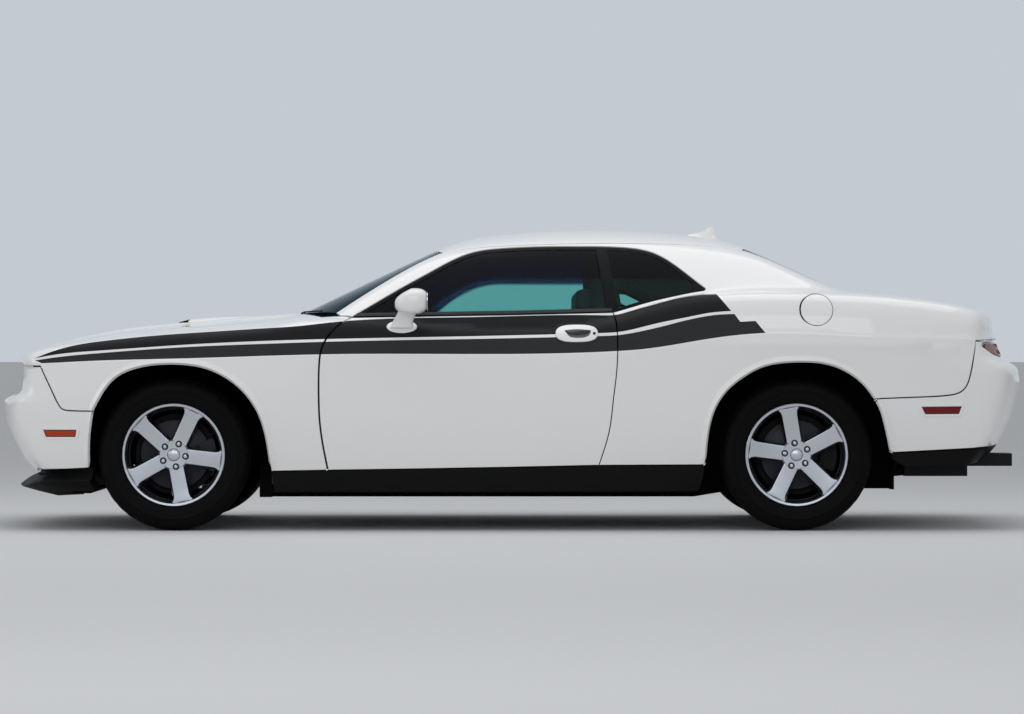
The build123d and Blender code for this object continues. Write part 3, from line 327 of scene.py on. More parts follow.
# Each map turns a point of the body into two flat coordinates and back into a ray. The map round the car
# winds about a spine between two x at SPINE_Z, and ARC is the radius that turns its angles into lengths.
ARC = 0.9
SPINE = (-1.72, 1.72)
SPINE_Z = 0.42
LOOP_HALF = math.pi * ARC + SPINE[1] - SPINE[0]


class LoopMap:
    """Round the car in plan, from the middle of the nose (0) past the left side to the tail."""

    def __init__(self, start=0.0):
        self.start = start

    def flat(self, p):
        x, y, z = p.T
        ahead = np.clip(x, *SPINE)
        turn = np.arctan2(x - ahead, np.abs(y) + 1e-9)
        w = math.pi / 2 * ARC + (ahead - SPINE[0]) + turn * ARC
        w = np.where(y > 0, -w, w)
        if self.start:
            w = np.where(w < 0, w + 2 * LOOP_HALF, w) - self.start
        return np.stack([w, np.arctan2(z - SPINE_Z, np.hypot(x - ahead, y)) * ARC], 1)

    def rays(self, q):
        w = q[:, 0] + self.start
        w = np.where(w > LOOP_HALF, w - 2 * LOOP_HALF, w)
        side, w = np.where(w < 0, 1.0, -1.0), np.abs(w)
        quarter = math.pi / 2 * ARC
        straight = SPINE[1] - SPINE[0]
        turn = np.where(w < quarter, (w - quarter) / ARC, np.maximum(w - quarter - straight, 0) / ARC)
        x = SPINE[0] + np.clip(w - quarter, 0, straight)
        rise = q[:, 1] / ARC
        d = np.stack([np.sin(turn) * np.cos(rise), side * np.cos(turn) * np.cos(rise), np.sin(rise)], 1)
        return np.stack([x, 0 * x, 0 * x + SPINE_Z], 1), d


class CrossMap:
    """Round an axis across the car at (x, z), for lids."""

    def __init__(self, x, z, radius):
        self.x, self.z, self.radius = x, z, radius

    def flat(self, p):
        return np.stack([np.arctan2(p[:, 0] - self.x, p[:, 2] - self.z) * self.radius, p[:, 1]], 1)

    def rays(self, q):
        a = q[:, 0] / self.radius
        return (np.stack([0 * a + self.x, q[:, 1], 0 * a + self.z], 1),
                np.stack([np.sin(a), 0 * a, np.cos(a)], 1))


class ArchMap:
    """Round the car's own axis at height z, for the cabin."""

    def __init__(self, z, radius):
        self.z, self.radius = z, radius

    def flat(self, p):
        return np.stack([p[:, 0], np.arctan2(p[:, 1], p[:, 2] - self.z) * self.radius], 1)

    def rays(self, q):
        a = q[:, 1] / self.radius
        return (np.stack([q[:, 0], 0 * a, 0 * a + self.z], 1),
                np.stack([0 * a, np.sin(a), np.cos(a)], 1))


def found(gap, how, points, level=0.0):
    """Flat points put on the body: side (x, z), top (x, y), front or rear (y, z)."""
    p = np.array(points, float)
    zero = np.zeros(len(p))
    if how == "side":
        origin, direction = np.stack([p[:, 0], zero, p[:, 1]], 1), (0, -1, 0)
    elif how == "top":
        origin, direction = np.stack([p[:, 0], p[:, 1], zero + 0.5], 1), (0, 0, 1)
    elif how == "front":
        origin, direction = np.stack([zero - 1.5, p[:, 0], p[:, 1]], 1), (-1, 0, 0)
    else:
        origin, direction = np.stack([zero + 1.5, p[:, 0], p[:, 1]], 1), (1, 0, 0)
    return cast(gap, origin, np.tile(np.array(direction, float), (len(p), 1)), level)


def rounded(points, radii, step=0.012):
    """A run of points with its corners rounded and its straights divided. Radii are one for each point."""
    pts = [Vector(p) for p in points]
    out = [pts[0]]
    for i in range(1, len(pts) - 1):
        a, b, c = pts[i - 1], pts[i], pts[i + 1]
        u, v = (a - b), (c - b)
        r = min(radii[i], u.length * 0.49, v.length * 0.49)
        if r < 1e-5:
            out.append(b)
            continue
        s, e = b + u.normalized() * r, b + v.normalized() * r
        n = max(2, int(r * 2 / step))
        out += [(1 - t) ** 2 * s + 2 * t * (1 - t) * b + t * t * e for t in (k / n for k in range(n + 1))]
    out.append(pts[-1])
    return divided(out, step)


def divided(points, step=0.012):
    """A run of points with points added along its straights."""
    out = [Vector(points[0])]
    for p in points[1:]:
        p = Vector(p)
        run = (p - out[-1]).length
        if run < 1e-6:
            continue
        n = max(1, math.ceil(run / step))
        a = out[-1].copy()
        out += [a.lerp(p, k / n) for k in range(1, n + 1)]
    return [tuple(p) for p in out]


def curved(points, step=0.012):
    """A smooth curve through the points."""
    p = np.array(points, float)
    run = np.concatenate([[0], np.cumsum(np.linalg.norm(np.diff(p, axis=0), axis=1))])
    m = [natural_spline(run, p[:, k]) for k in range(p.shape[1])]
    t = np.linspace(0, run[-1], max(3, int(run[-1] / step)))
    i = np.clip(np.searchsorted(run, t) - 1, 0, len(run) - 2)
    h = run[i + 1] - run[i]
    a, b = (run[i + 1] - t) / h, (t - run[i]) / h
    out = [
        a * p[i, k] + b * p[i + 1, k] + ((a**3 - a) * m[k][i] + (b**3 - b) * m[k][i + 1]) * h * h / 6
        for k in range(p.shape[1])
    ]
    return [tuple(q) for q in np.stack(out, 1)]


def within(poly, pts):
    """Which of the flat points lie inside a closed outline."""
    x, y = pts[:, 0], pts[:, 1]
    inside = np.zeros(len(pts), bool)
    px, py = poly[:, 0], poly[:, 1]
    qx, qy = np.roll(px, -1), np.roll(py, -1)
    for ax, ay, bx, by in zip(px, py, qx, qy):
        crosses = (ay > y) != (by > y)
        if crosses.any():
            inside ^= crosses & (x < ax + (y - ay) * (bx - ax) / (by - ay + 1e-15))
    return inside


# The radius of a panel's rolled edge, and how far its outline is drawn in for the gap to its neighbour
ROLL, EDGE = 0.0028, 0.0050
# A filling point keeps this share of the spacing from every edge; the points are tested in batches
CLEAR_SHARE, BATCH = 0.42, 2000


def panel(name, gap, chart, outline, lines=(), holes=(), spacing=0.022, depth=0.016, level=0.0, paint=None,
          sides=(None,), roll=ROLL, inset=0.0):
    """A panel: an outline on the body surface, filled, lifted, with rolled edges, a return and a back.

    outline and holes are closed runs of body points, lines are runs that edges must follow, and paint gives
    each triangle's material number from its middle."""
    loops = [drawn_in(chart.flat(np.asarray(outline)), inset)]
    loops += [chart.flat(np.asarray(run)) for run in holes]
    verts, edges = [], []
    for k, run in enumerate([*loops, *[chart.flat(np.asarray(r)) for r in lines]]):
        base = len(verts)
        verts += [Vector(q) for q in run]
        closed = k < len(loops)
        edges += [(base + i, base + (i + 1) % len(run)) for i in range(len(run) - (0 if closed else 1))]
    low, high = loops[0].min(0), loops[0].max(0)
    gx = np.arange(low[0] + spacing / 2, high[0], spacing)
    gy = np.arange(low[1] + spacing / 2, high[1], spacing)
    grid = np.array([(x + (spacing / 2 if j % 2 else 0), y) for j, y in enumerate(gy) for x in gx])
    keep = within(loops[0], grid)
    for hole in loops[1:]:
        keep &= ~within(hole, grid)
    near = np.array([tuple(v) for v in verts])
    grid = grid[keep]
    clear = np.ones(len(grid), bool)
    for start in range(0, len(grid), BATCH):
        part = grid[start : start + BATCH]
        apart = ((part[:, None, :] - near[None, :, :]) ** 2).sum(2).min(1)
        clear[start : start + BATCH] = apart > (spacing * CLEAR_SHARE) ** 2
    verts += [Vector(q) for q in grid[clear]]
    flat, _, faces, *_ = delaunay_2d_cdt(verts, edges, [], 0, 1e-6)
    flat = np.array([tuple(v) for v in flat])
    tris = np.array([f for f in faces if len(f) == 3])
    mid = flat[tris].mean(1)
    keep = within(loops[0], mid)
    for hole in loops[1:]:
        keep &= ~within(hole, mid)
    tris = tris[keep]
    used = np.unique(tris)
    remap = np.full(len(flat), -1)
    remap[used] = np.arange(len(used))
    tris, flat = remap[tris], flat[used]
    origin, direction = chart.rays(flat)
    p = cast(gap, origin, direction, level)
    n = normals(gap, p)
    a, b, c = (p[tris[:, k]] for k in range(3))
    turned = (np.cross(b - a, c - a) * n[tris[:, 0]]).sum(1) < 0
    tris[turned] = tris[turned][:, ::-1]
    slots = np.zeros(len(tris), int) if paint is None else paint(p[tris].mean(1))
    return closed_shell(name, p, n, tris, slots, depth, roll, sides)


def drawn_in(loop, by):
    """A closed flat outline, moved inwards, for the gap between two panels."""
    keep = np.linalg.norm(loop - np.roll(loop, 1, axis=0), axis=1) > 1e-6
    loop = loop[keep]
    if not by:
        return loop
    turn = np.roll(loop, -1, axis=0) - np.roll(loop, 1, axis=0)
    area = np.sum(loop[:, 0] * np.roll(loop[:, 1], -1) - np.roll(loop[:, 0], -1) * loop[:, 1])
    inward = np.stack([-turn[:, 1], turn[:, 0]], 1) * math.copysign(1, area)
    return loop + by * inward / np.linalg.norm(inward, axis=1, keepdims=True)


def closed_shell(name, p, n, tris, slots, depth, roll, sides):
    """Gives an open sheet a rolled edge, a return and a back, as one closed mesh with its own normals.

    depth is a length or a function that gives one for each point."""
    count = len(p)
    deep = depth(p) if callable(depth) else np.full(count, depth)
    directed = {}
    for t, tri in enumerate(tris):
        for k in range(3):
            directed[(tri[k], tri[(k + 1) % 3])] = t
    rim = [(a, b, t) for (a, b), t in directed.items() if (b, a) not in directed]
    follow = {a: b for a, b, _ in rim}
    before = {b: a for a, b, _ in rim}
    out_p, out_n = [*p], [*n]
    rings = {}
    for a in follow:
        tangent = p[follow[a]] - p[before[a]]
        away = np.cross(tangent, n[a])
        away /= np.linalg.norm(away) + 1e-12
        ids = []
        for turn, drop in ((45, 0), (90, 0), (90, deep[a])):
            s, c = math.sin(math.radians(turn)), math.cos(math.radians(turn))
            ids.append(len(out_p))
            out_p.append(p[a] + away * roll * s - n[a] * (roll * (1 - c) + drop))
            out_n.append(away * s + n[a] * c)
        rings[a] = ids
    back = {}
    for i in range(count):
        back[i] = len(out_p)
        out_p.append(p[i] - n[i] * (deep[i] + roll))
        out_n.append(-n[i])
    faces, face_slots = [tuple(t) for t in tris], list(slots)
    for tri in tris:
        faces.append((back[tri[2]], back[tri[1]], back[tri[0]]))
        face_slots.append(-1)
    for a, b, t in rim:
        ra, rb = [a, *rings[a], back[a]], [b, *rings[b], back[b]]
        for k in range(4):
            faces.append((ra[k], ra[k + 1], rb[k + 1], rb[k]))
            face_slots.append(slots[t])
    made = [
        placed(f"{name}_{side}" if side else name, np.array(out_p), faces, face_slots, np.array(out_n),
               side == "right")
        for side in sides
    ]
    return made if len(made) > 1 or sides[0] else made[0]


def placed(name, points, faces, face_slots=None, vertex_normals=None, mirror=False):
    """A mesh object from arrays, mirrored to the right side if asked."""
    if mirror:
        points = points * (1, -1, 1)
        faces = [tuple(reversed(f)) for f in faces]
        vertex_normals = None if vertex_normals is None else vertex_normals * (1, -1, 1)
    mesh = bpy.data.meshes.new(name)
    mesh.from_pydata([tuple(q) for q in points], [], faces)
    mesh.validate()
    if face_slots is not None:
        last = max(face_slots)
        mesh.polygons.foreach_set("material_index", [last + 1 if s < 0 else int(s) for s in face_slots])
    mesh.polygons.foreach_set("use_smooth", [True] * len(mesh.polygons))
    if vertex_normals is not None and len(vertex_normals) == len(mesh.vertices):
        mesh.normals_split_custom_set_from_vertices([tuple(q) for q in vertex_normals])
    thing = bpy.data.objects.new(name, mesh)
    bpy.context.collection.objects.link(thing)
    return thing


# ---- finishes ------------------------------------------------------------------------------------

def colour(code):
    """An sRGB hex value as linear light."""
    values = [int(code[i : i + 2], 16) / 255 for i in (1, 3, 5)]
    return (*(v / 12.92 if v <= 0.04045 else ((v + 0.055) / 1.055) ** 2.4 for v in values), 1.0)


def add_node(tree, kind, inputs=None, **settings):
    """Adds a node, with its settings, values and links."""
    new = tree.nodes.new(kind)
    for key, value in settings.items():
        setattr(new, key, value)
    for key, value in (inputs or {}).items():
        if isinstance(value, bpy.types.NodeSocket):
            tree.links.new(value, new.inputs[key])
        else:
            new.inputs[key].default_value = value
    return new


def mixed_colours(tree, share, first, second):
    """A colour that runs from the first to the second as share goes from 0 to 1."""
    mixed = add_node(tree, "ShaderNodeMix", {"Factor": share}, data_type="RGBA")
    for socket in mixed.inputs:
        if socket.type == "RGBA":
            socket.default_value = first if socket.name == "A" else second
    return next(o for o in mixed.outputs if o.type == "RGBA")


MATERIALS = {}


def material(name, base, roughness, grain=None, spread=0.0, rough_spread=0.0, rings=None, band=None,
             **sockets):
    """A finish on one Principled shader.

    grain is (size in mm, depth in mm, stretch along x, y, z), spread how far the colour drifts towards dark,
    rough_spread how much the gloss varies, and rings (spacing in mm, depth in mm) turned marks about Y."""
    made = bpy.data.materials.new(name)
    made.use_nodes = True
    tree = made.node_tree
    tree.nodes.clear()
    values = {"Base Color": colour(base), "Roughness": roughness}
    values.update({key.replace("_", " "): value for key, value in sockets.items()})
    shader = add_node(tree, "ShaderNodeBsdfPrincipled", values)
    add_node(tree, "ShaderNodeOutputMaterial", {"Surface": shader.outputs[0]})
    place = add_node(tree, "ShaderNodeTexCoord").outputs["Object"]
    bump = None
    if grain:
        size, depth, stretch = grain
        mapped = add_node(tree, "ShaderNodeMapping", {"Vector": place, "Scale": stretch})
        noise = add_node(tree, "ShaderNodeTexNoise", {"Vector": mapped.outputs[0], "Scale": 1 / (size * MM),
                                                      "Detail": 3.0, "Roughness": 0.55})
        bump = add_node(tree, "ShaderNodeBump", {"Height": noise.outputs[0], "Distance": depth * MM,
                                                 "Strength": 1.0})
    if rings:
        spacing, depth = rings
        wave = add_node(tree, "ShaderNodeTexWave", {"Vector": place, "Scale": 1 / (spacing * MM) / 20,
                                                    "Distortion": 0.6, "Detail": 1.0, "Detail Scale": 4.0},
                        wave_type="RINGS", rings_direction="Y")
        inputs = {"Height": wave.outputs[1], "Distance": depth * MM, "Strength": 1.0}
        if bump:
            inputs["Normal"] = bump.outputs[0]
        bump = add_node(tree, "ShaderNodeBump", inputs)
    if bump:
        tree.links.new(bump.outputs[0], shader.inputs["Normal"])
    if spread or rough_spread:
        patch = add_node(tree, "ShaderNodeTexNoise", {"Vector": place, "Scale": 4.0, "Detail": 5.0,
                                                      "Roughness": 0.6})
    if spread:
        tone = add_node(tree, "ShaderNodeMapRange", {"Value": patch.outputs[0], "From Min": 0.3,
                                                     "From Max": 0.7, "To Min": 1 - spread, "To Max": 1.0})
        dark = (*(v * DARK_SHARE for v in colour(base)[:3]), 1)
        tree.links.new(mixed_colours(tree, tone.outputs[0], dark, colour(base)), shader.inputs["Base Color"])
    # band paints shade on the glass: the colour runs to a dark upper colour between two heights in mm
    if band:
        low, high, upper = band
        split = add_node(tree, "ShaderNodeSeparateXYZ", {0: place})
        ahead = add_node(tree, "ShaderNodeMath", {0: SHADE_BAND_BEND, 1: split.outputs["X"]}, operation="SUBTRACT")
        ahead = add_node(tree, "ShaderNodeMath", {0: ahead.outputs[0], 1: 0.0}, operation="MAXIMUM")
        square = add_node(tree, "ShaderNodeMath", {0: ahead.outputs[0], 1: 2.0}, operation="POWER")
        height = add_node(tree, "ShaderNodeMath", {0: square.outputs[0], 1: SHADE_BAND_DROP, 2: split.outputs["Z"]},
                          operation="MULTIPLY_ADD")
        share = add_node(tree, "ShaderNodeMapRange", {"Value": height.outputs[0], "From Min": low * MM,
                                                      "From Max": high * MM})
        tinted = mixed_colours(tree, share.outputs[0], colour(base), colour(upper))
        tree.links.new(tinted, shader.inputs["Base Color"])
    if rough_spread:
        gloss = add_node(tree, "ShaderNodeMapRange", {"Value": patch.outputs[0], "From Min": 0.3,
                                                      "From Max": 0.7, "To Min": roughness - rough_spread,
                                                      "To Max": roughness + rough_spread})
        tree.links.new(gloss.outputs[0], shader.inputs["Roughness"])
    MATERIALS[name] = made
    return made


EVEN = (1.0, 1.0, 1.0)
# A finish that drifts towards dark keeps this share of its colour in the darkest patches
DARK_SHARE = 0.4
# The painted shade band on the side glass is level behind this X and drops toward the windshield by this much
# per metre squared
SHADE_BAND_BEND, SHADE_BAND_DROP = -0.06, 1.4


def make_finishes(car):
    """Every material, named for what it is made of and how it is finished."""
    # Acrylic enamel under clear lacquer, sprayed: deep gloss with the faintest orange peel
    material("enamel_white_lacquered", car.body_colour, 0.32, (9.0, 0.012, EVEN), 0.012, 0.03,
             Coat_Weight=1.0, Coat_Roughness=0.03)
    # Cast vinyl film, satin: swallows the light, so the stripe reads as one dark band
    material("vinyl_film_black", car.stripe_upper, 0.55, (3.0, 0.01, EVEN), 0.05, 0.05,
             Specular_IOR_Level=0.2)
    material("vinyl_film_charcoal", car.stripe_lower, 0.5, (3.0, 0.01, EVEN), 0.05, 0.05,
             Specular_IOR_Level=0.2)
    # Float glass tinted in the melt: blue-green where light passes, dark over a dark cabin
    material("float_glass_tinted", car.glass_tint, 0.0, Transmission_Weight=1.0, IOR=1.15)
    # The same glass painted darker for windshield and rear window: painted shade, standing in for how dark
    # they look
    material("float_glass_darkened_painted_shade", "#2F6F7C", 0.0, Transmission_Weight=1.0, IOR=1.04)
    # Side glass with painted shade: a dark band over its upper part, where the glass looks dark
    material("float_glass_painted_shade_band", car.glass_tint, 0.0, Transmission_Weight=1.0, IOR=1.15,
             band=(1186, 1202, "#0E2450"))
    # Ceramic enamel band fired on the glass edge
    material("ceramic_band_black", "#060709", 0.45, (2.0, 0.004, EVEN), 0.0, 0.03, Specular_IOR_Level=0.1)
    # Vulcanised rubber, moulded: dull black with a dusty bloom
    material("rubber_vulcanised_tyre", "#070708", 0.70, (2.5, 0.05, EVEN), 0.25, 0.06, Specular_IOR_Level=0.1)
    # Extruded seal rubber, clean
    material("rubber_seal_black", "#0C0C0D", 0.5, (3.0, 0.03, EVEN), 0.1, 0.05)
    # Cast aluminium, diamond turned on the face and lacquered: bright with fine turned rings
    material("aluminium_turned_lacquered", "#C9CCD2", 0.24, rings=(1.6, 0.006), rough_spread=0.05,
             Metallic=1.0, Coat_Weight=0.4, Coat_Roughness=0.08)
    # The same casting, dark in the bolt pockets, and painted shade over the barrel and the hub's back deep
    # inside the wheel
    material("aluminium_dark_pocket_and_painted_shade", "#121315", 0.5, (2.0, 0.02, EVEN), 0.1, 0.05, Metallic=0.3)
    # Chrome plated steel: mirror bright
    material("steel_chromed", "#DADDE0", 0.06, (20.0, 0.01, EVEN), rough_spread=0.02, Metallic=1.0)
    # Grey cast iron, ground on its faces
    material("iron_cast_ground", "#2E2F33", 0.45, rings=(2.2, 0.02), spread=0.2, rough_spread=0.06,
             Metallic=0.9)
    # Steel pressings dipped in black primer: dull, slightly dusty
    material("steel_primed_black", "#0B0B0C", 0.65, (6.0, 0.06, EVEN), 0.3, 0.06, Specular_IOR_Level=0.2)
    # Hot rolled steel, painted in satin black, and darkened further with almost no shine as painted shade, so
    # the structure in the wheel arches stays as dark as its shade
    material("steel_satin_black_and_painted_shade", "#060607", 0.75, (4.0, 0.05, EVEN), 0.2, 0.06, Specular_IOR_Level=0.05)
    # Steel dipped in aluminium, dulled by heat
    material("steel_aluminised", "#232425", 0.55, (8.0, 0.04, EVEN), 0.3, 0.08, Metallic=0.9)
    # Polypropylene, moulded with a fine leather grain
    material("polypropylene_black_grained", "#060607", 0.58, (2.2, 0.10, EVEN), 0.1, 0.06,
             Specular_IOR_Level=0.15)
    # ABS, moulded: glossy black, then satin grey
    material("abs_black_gloss", "#08090A", 0.16, (25.0, 0.01, EVEN), rough_spread=0.03, Coat_Weight=0.5)
    material("abs_grey_satin", "#5B5E62", 0.4, (3.0, 0.02, EVEN), 0.1, 0.05)
    # Polycarbonate lenses, injection moulded
    material("polycarbonate_clear", "#F2F5F7", 0.03, (6.0, 0.05, (1.0, 1.0, 0.1)), Transmission_Weight=1.0,
             IOR=1.58)
    material("polycarbonate_red", "#84090F", 0.15, (7.0, 0.12, (1.0, 1.0, 0.2)), 0.15, Specular_IOR_Level=0.2,
             Transmission_Weight=0.25, IOR=1.58)
    material("polycarbonate_amber", "#C0420A", 0.2, (7.0, 0.10, (1.0, 1.0, 0.2)), 0.12,
             Specular_IOR_Level=0.2, Transmission_Weight=0.15, IOR=1.58)
    # Plastic bowl with a vapour-deposited mirror
    material("reflector_vacuum_metallised", "#E6E8EA", 0.12, (14.0, 0.15, EVEN), Metallic=1.0)
    # Cow hide, embossed and dyed: soft grain, faint sheen
    material("leather_black_embossed", "#1C1D20", 0.48, (3.2, 0.22, EVEN), 0.15, 0.07, Sheen_Weight=0.15)
    # Slush-moulded vinyl skin over foam
    material("vinyl_skin_grey", "#2A2C30", 0.55, (2.6, 0.12, EVEN), 0.1, 0.05)
    # Sand cast aluminium: rough, grey and dusty
    material("aluminium_sand_cast", "#8B8E91", 0.5, (4.0, 0.25, EVEN), 0.25, 0.08, Metallic=0.8)
    # Knitted polyester, bonded to foam
    material("headliner_knit_grey", "#8E9194", 0.9, (2.4, 0.3, EVEN), 0.1, 0.03, Sheen_Weight=0.2)
    # Silvered glass
    material("mirror_silvered", "#E8EBEE", 0.02, (60.0, 0.002, EVEN), Metallic=1.0)


PAINT, STRIPE_UPPER, STRIPE_LOWER = "enamel_white_lacquered", "vinyl_film_black", "vinyl_film_charcoal"
BLACK_PLASTIC = "polypropylene_black_grained"


def dress(thing, body, finishes, stands_for=()):
    """Gives a piece its finishes, its body and the nodes it stands for."""
    for name in finishes:
        thing.data.materials.append(MATERIALS[name])
    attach(thing, body)
    if stands_for:
        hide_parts(*stands_for)
    return thing


def solid(name, points, faces, at=(0, 0, 0), sharp=35):
    """A mesh whose normals all point out, with edges sharper than the angle kept crisp."""
    mesh = bpy.data.meshes.new(name)
    mesh.from_pydata([tuple(p) for p in points], [], faces)
    mesh.validate()
    work = bmesh.new()
    work.from_mesh(mesh)
    bmesh.ops.remove_doubles(work, verts=work.verts, dist=1e-6)
    bmesh.ops.recalc_face_normals(work, faces=work.faces)
    work.to_mesh(mesh)
    work.free()
    mesh.polygons.foreach_set("use_smooth", [True] * len(mesh.polygons))
    mesh.set_sharp_from_angle(angle=math.radians(sharp))
    thing = bpy.data.objects.new(name, mesh)
    thing.location = at
    bpy.context.collection.objects.link(thing)
    return thing


def joined(name, *things):
    """Several meshes as one object, at the first one's place, with their materials kept."""
    bpy.ops.object.select_all(action="DESELECT")
    for thing in things:
        thing.select_set(True)
    bpy.context.view_layer.objects.active = things[0]
    bpy.ops.object.join()
    things[0].name = name
    return things[0]


def bevelled(thing, width, segments=2, angle=30):
    change = thing.modifiers.new("edge", "BEVEL")
    change.width, change.segments, change.limit_method = width, segments, "ANGLE"
    change.angle_limit = math.radians(angle)
    change.harden_normals = True
    return thing


def ring_faces(rows, count, start=0, closed=False):
    """The quads from each ring of count points to the next, and from the last to the first if closed."""
    faces = []
    for i in range(rows if closed else rows - 1):
        a, b = start + i * count, start + (i + 1) % rows * count
        faces += [(a + k, a + (k + 1) % count, b + (k + 1) % count, b + k) for k in range(count)]
    return faces


def grid_faces(rows, columns):
    """The quads of a grid of points, stored row by row."""
    corners = [i * columns + j for i in range(rows - 1) for j in range(columns - 1)]
    return [(a, a + 1, a + columns + 1, a + columns) for a in corners]


def rim_faces(rows, columns):
    """The quads that join the edges of two equal grids, one stored after the other."""
    count = rows * columns
    rim = [*range(columns), *range(2 * columns - 1, count, columns)]
    rim += [*range(count - 2, count - columns - 1, -1), *range(count - 2 * columns, 0, -columns)]
    return [(a, b, count + b, count + a) for a, b in zip(rim, rim[1:] + rim[:1])]


def round_turns(count):
    """Evenly spaced angles once round."""
    return np.linspace(0, 2 * math.pi, count + 1)[:-1]


def squarish(value, power):
    """A sine or cosine pushed out toward the corners of a square."""
    return math.copysign(abs(value) ** power, value)


def lathe(name, profile, at, side, segments=96, sharp=32, wave=None):
    """A ring about the wheel's axle from (radius, distance outward) pairs; wave gives a point's radius."""
    points = []
    for i in range(segments):
        turn = 2 * math.pi * i / segments
        for k, (radius, out) in enumerate(profile):
            r = radius if wave is None else wave(i, k, radius)
            points.append((r * math.cos(turn), side * out, r * math.sin(turn)))
    return solid(name, points, ring_faces(segments, len(profile), closed=True), at, sharp)


def prism(name, outline, low, high, axis="y", at=(0, 0, 0), sharp=30):
    """A flat outline pushed out along an axis; the outline's pair are the other two coordinates in order."""
    n = len(outline)
    points = [(*p[: "xyz".index(axis)], h, *p["xyz".index(axis) :]) for h in (low, high) for p in outline]
    faces = [tuple(range(n)), tuple(range(2 * n - 1, n - 1, -1))]
    faces += [(i, (i + 1) % n, n + (i + 1) % n, n + i) for i in range(n)]
    return solid(name, points, faces, at, sharp)


def box_outline(a, b, radius, steps=5):
    """A rectangle from corner a to corner b with rounded corners."""
    (x0, z0), (x1, z1) = a, b
    out = []
    for mx, mz, start in (
        (x1 - radius, z1 - radius, 0), (x0 + radius, z1 - radius, 90),
        (x0 + radius, z0 + radius, 180), (x1 - radius, z0 + radius, 270),
    ):
        out += [(mx + radius * math.cos(math.radians(start + 90 * k / steps)),
                 mz + radius * math.sin(math.radians(start + 90 * k / steps))) for k in range(steps + 1)]
    return out


def end_faces(total, count):
    """The first and the last ring of count points, closed."""
    return [tuple(range(count)), tuple(range(total - count, total))]


def tube(name, path, radius, sides=12):
    """A round bar along points, with its ends closed."""
    run = [Vector(p) for p in path]
    points = []
    side = None
    for i, p in enumerate(run):
        along_run = (run[min(i + 1, len(run) - 1)] - run[max(i - 1, 0)]).normalized()
        if side is None:
            side = along_run.orthogonal().normalized()
        side = (side - along_run * side.dot(along_run)).normalized()
        up = along_run.cross(side)
        r = radius[i] if isinstance(radius, (list, tuple)) else radius
        turns = [2 * math.pi * k / sides for k in range(sides)]
        points += [p + (side * math.cos(t) + up * math.sin(t)) * r for t in turns]
    faces = ring_faces(len(run), sides) + end_faces(len(points), sides)
    return solid(name, points, faces, sharp=50)


# ---- outlines of the painted panels, on the left side --------------------------------------------

ROUND = LoopMap()
ROUND_REAR = LoopMap(LOOP_HALF)
CABIN_MAP = ArchMap(0.4, 0.9)


def run_of(how, points, gap=car_gap, smooth=False, step=0.012):
    """A run of body points from flat points, with straights divided or one smooth curve through them."""
    flat = curved(points, step) if smooth else divided(points, step)
    return found(gap, how, flat)


def on_glass(ring):
    """A closed flat outline on the cabin, from the side."""
    return found(cabin_gap, "side", divided([*ring, ring[0]])[:-1])


def ring_of(*runs):
    """One outline from several runs, end to end."""
    return np.concatenate(runs)


def mirrored(run):
    """The half outline and its mirror image, as one closed outline."""
    other = run[::-1] * (1, -1, 1)
    return np.concatenate([run, other])


def arch_run(end):
    """The wheel arch's edge from its rear foot over the top to its front foot."""
    return [(AXLE_X[end] + x, WHEEL_Z + z) for x, z in ARCHES[end]][::-1]


# Columns: x, z, seen from the left side
DOOR_FRONT = [(-0.756, 1.010), (-0.795, 0.986), (-0.831, 0.954), (-0.868, 0.910), (-0.891, 0.863),
              (-0.902, 0.800), (-0.905, 0.736), (-0.905, 0.630), (-0.901, 0.524), (-0.885, 0.400),
              (-0.863, 0.286)]
DOOR_REAR = [(0.484, 1.034), (0.496, 0.990), (0.502, 0.930), (0.503, 0.849), (0.496, 0.730), (0.482, 0.615),
             (0.463, 0.470), (0.440, 0.385), (0.415, 0.309)]
DOOR_BELT = [(-0.756, 1.010), (-0.40, 1.016), (0.0, 1.022), (0.484, 1.034)]
WINDOW_TOP = [(-0.752, 1.012), (-0.620, 1.092), (-0.500, 1.163), (-0.388, 1.226), (-0.290, 1.281),
              (-0.180, 1.326), (-0.030, 1.346), (0.132, 1.353), (0.340, 1.354), (0.548, 1.348),
              (0.666, 1.327), (0.745, 1.288), (0.823, 1.230), (0.900, 1.167)]
WINDOW_TIP = [(0.900, 1.167), (0.926, 1.147), (0.918, 1.139)]
WINDOW_FOOT = [(0.918, 1.139), (0.850, 1.128), (0.778, 1.113), (0.690, 1.093), (0.620, 1.074), (0.550, 1.053),
               (0.484, 1.034)]
BUMPER_SEAM = [(-2.222, 0.777), (-2.205, 0.740), (-2.160, 0.646), (-2.132, 0.592), (-2.118, 0.576),
               (-2.085, 0.568), (-2.041, 0.566), (-1.976, 0.566)]
REAR_SEAM = [(1.717, 0.624), (1.900, 0.631), (2.060, 0.640), (2.103, 0.648), (2.135, 0.666), (2.152, 0.690),
             (2.166, 0.730), (2.182, 0.810), (2.191, 0.860), (2.196, 0.897)]
SILL_TOP = [(0.415, 0.309), (0.0, 0.300), (-0.45, 0.292), (-0.863, 0.286)]
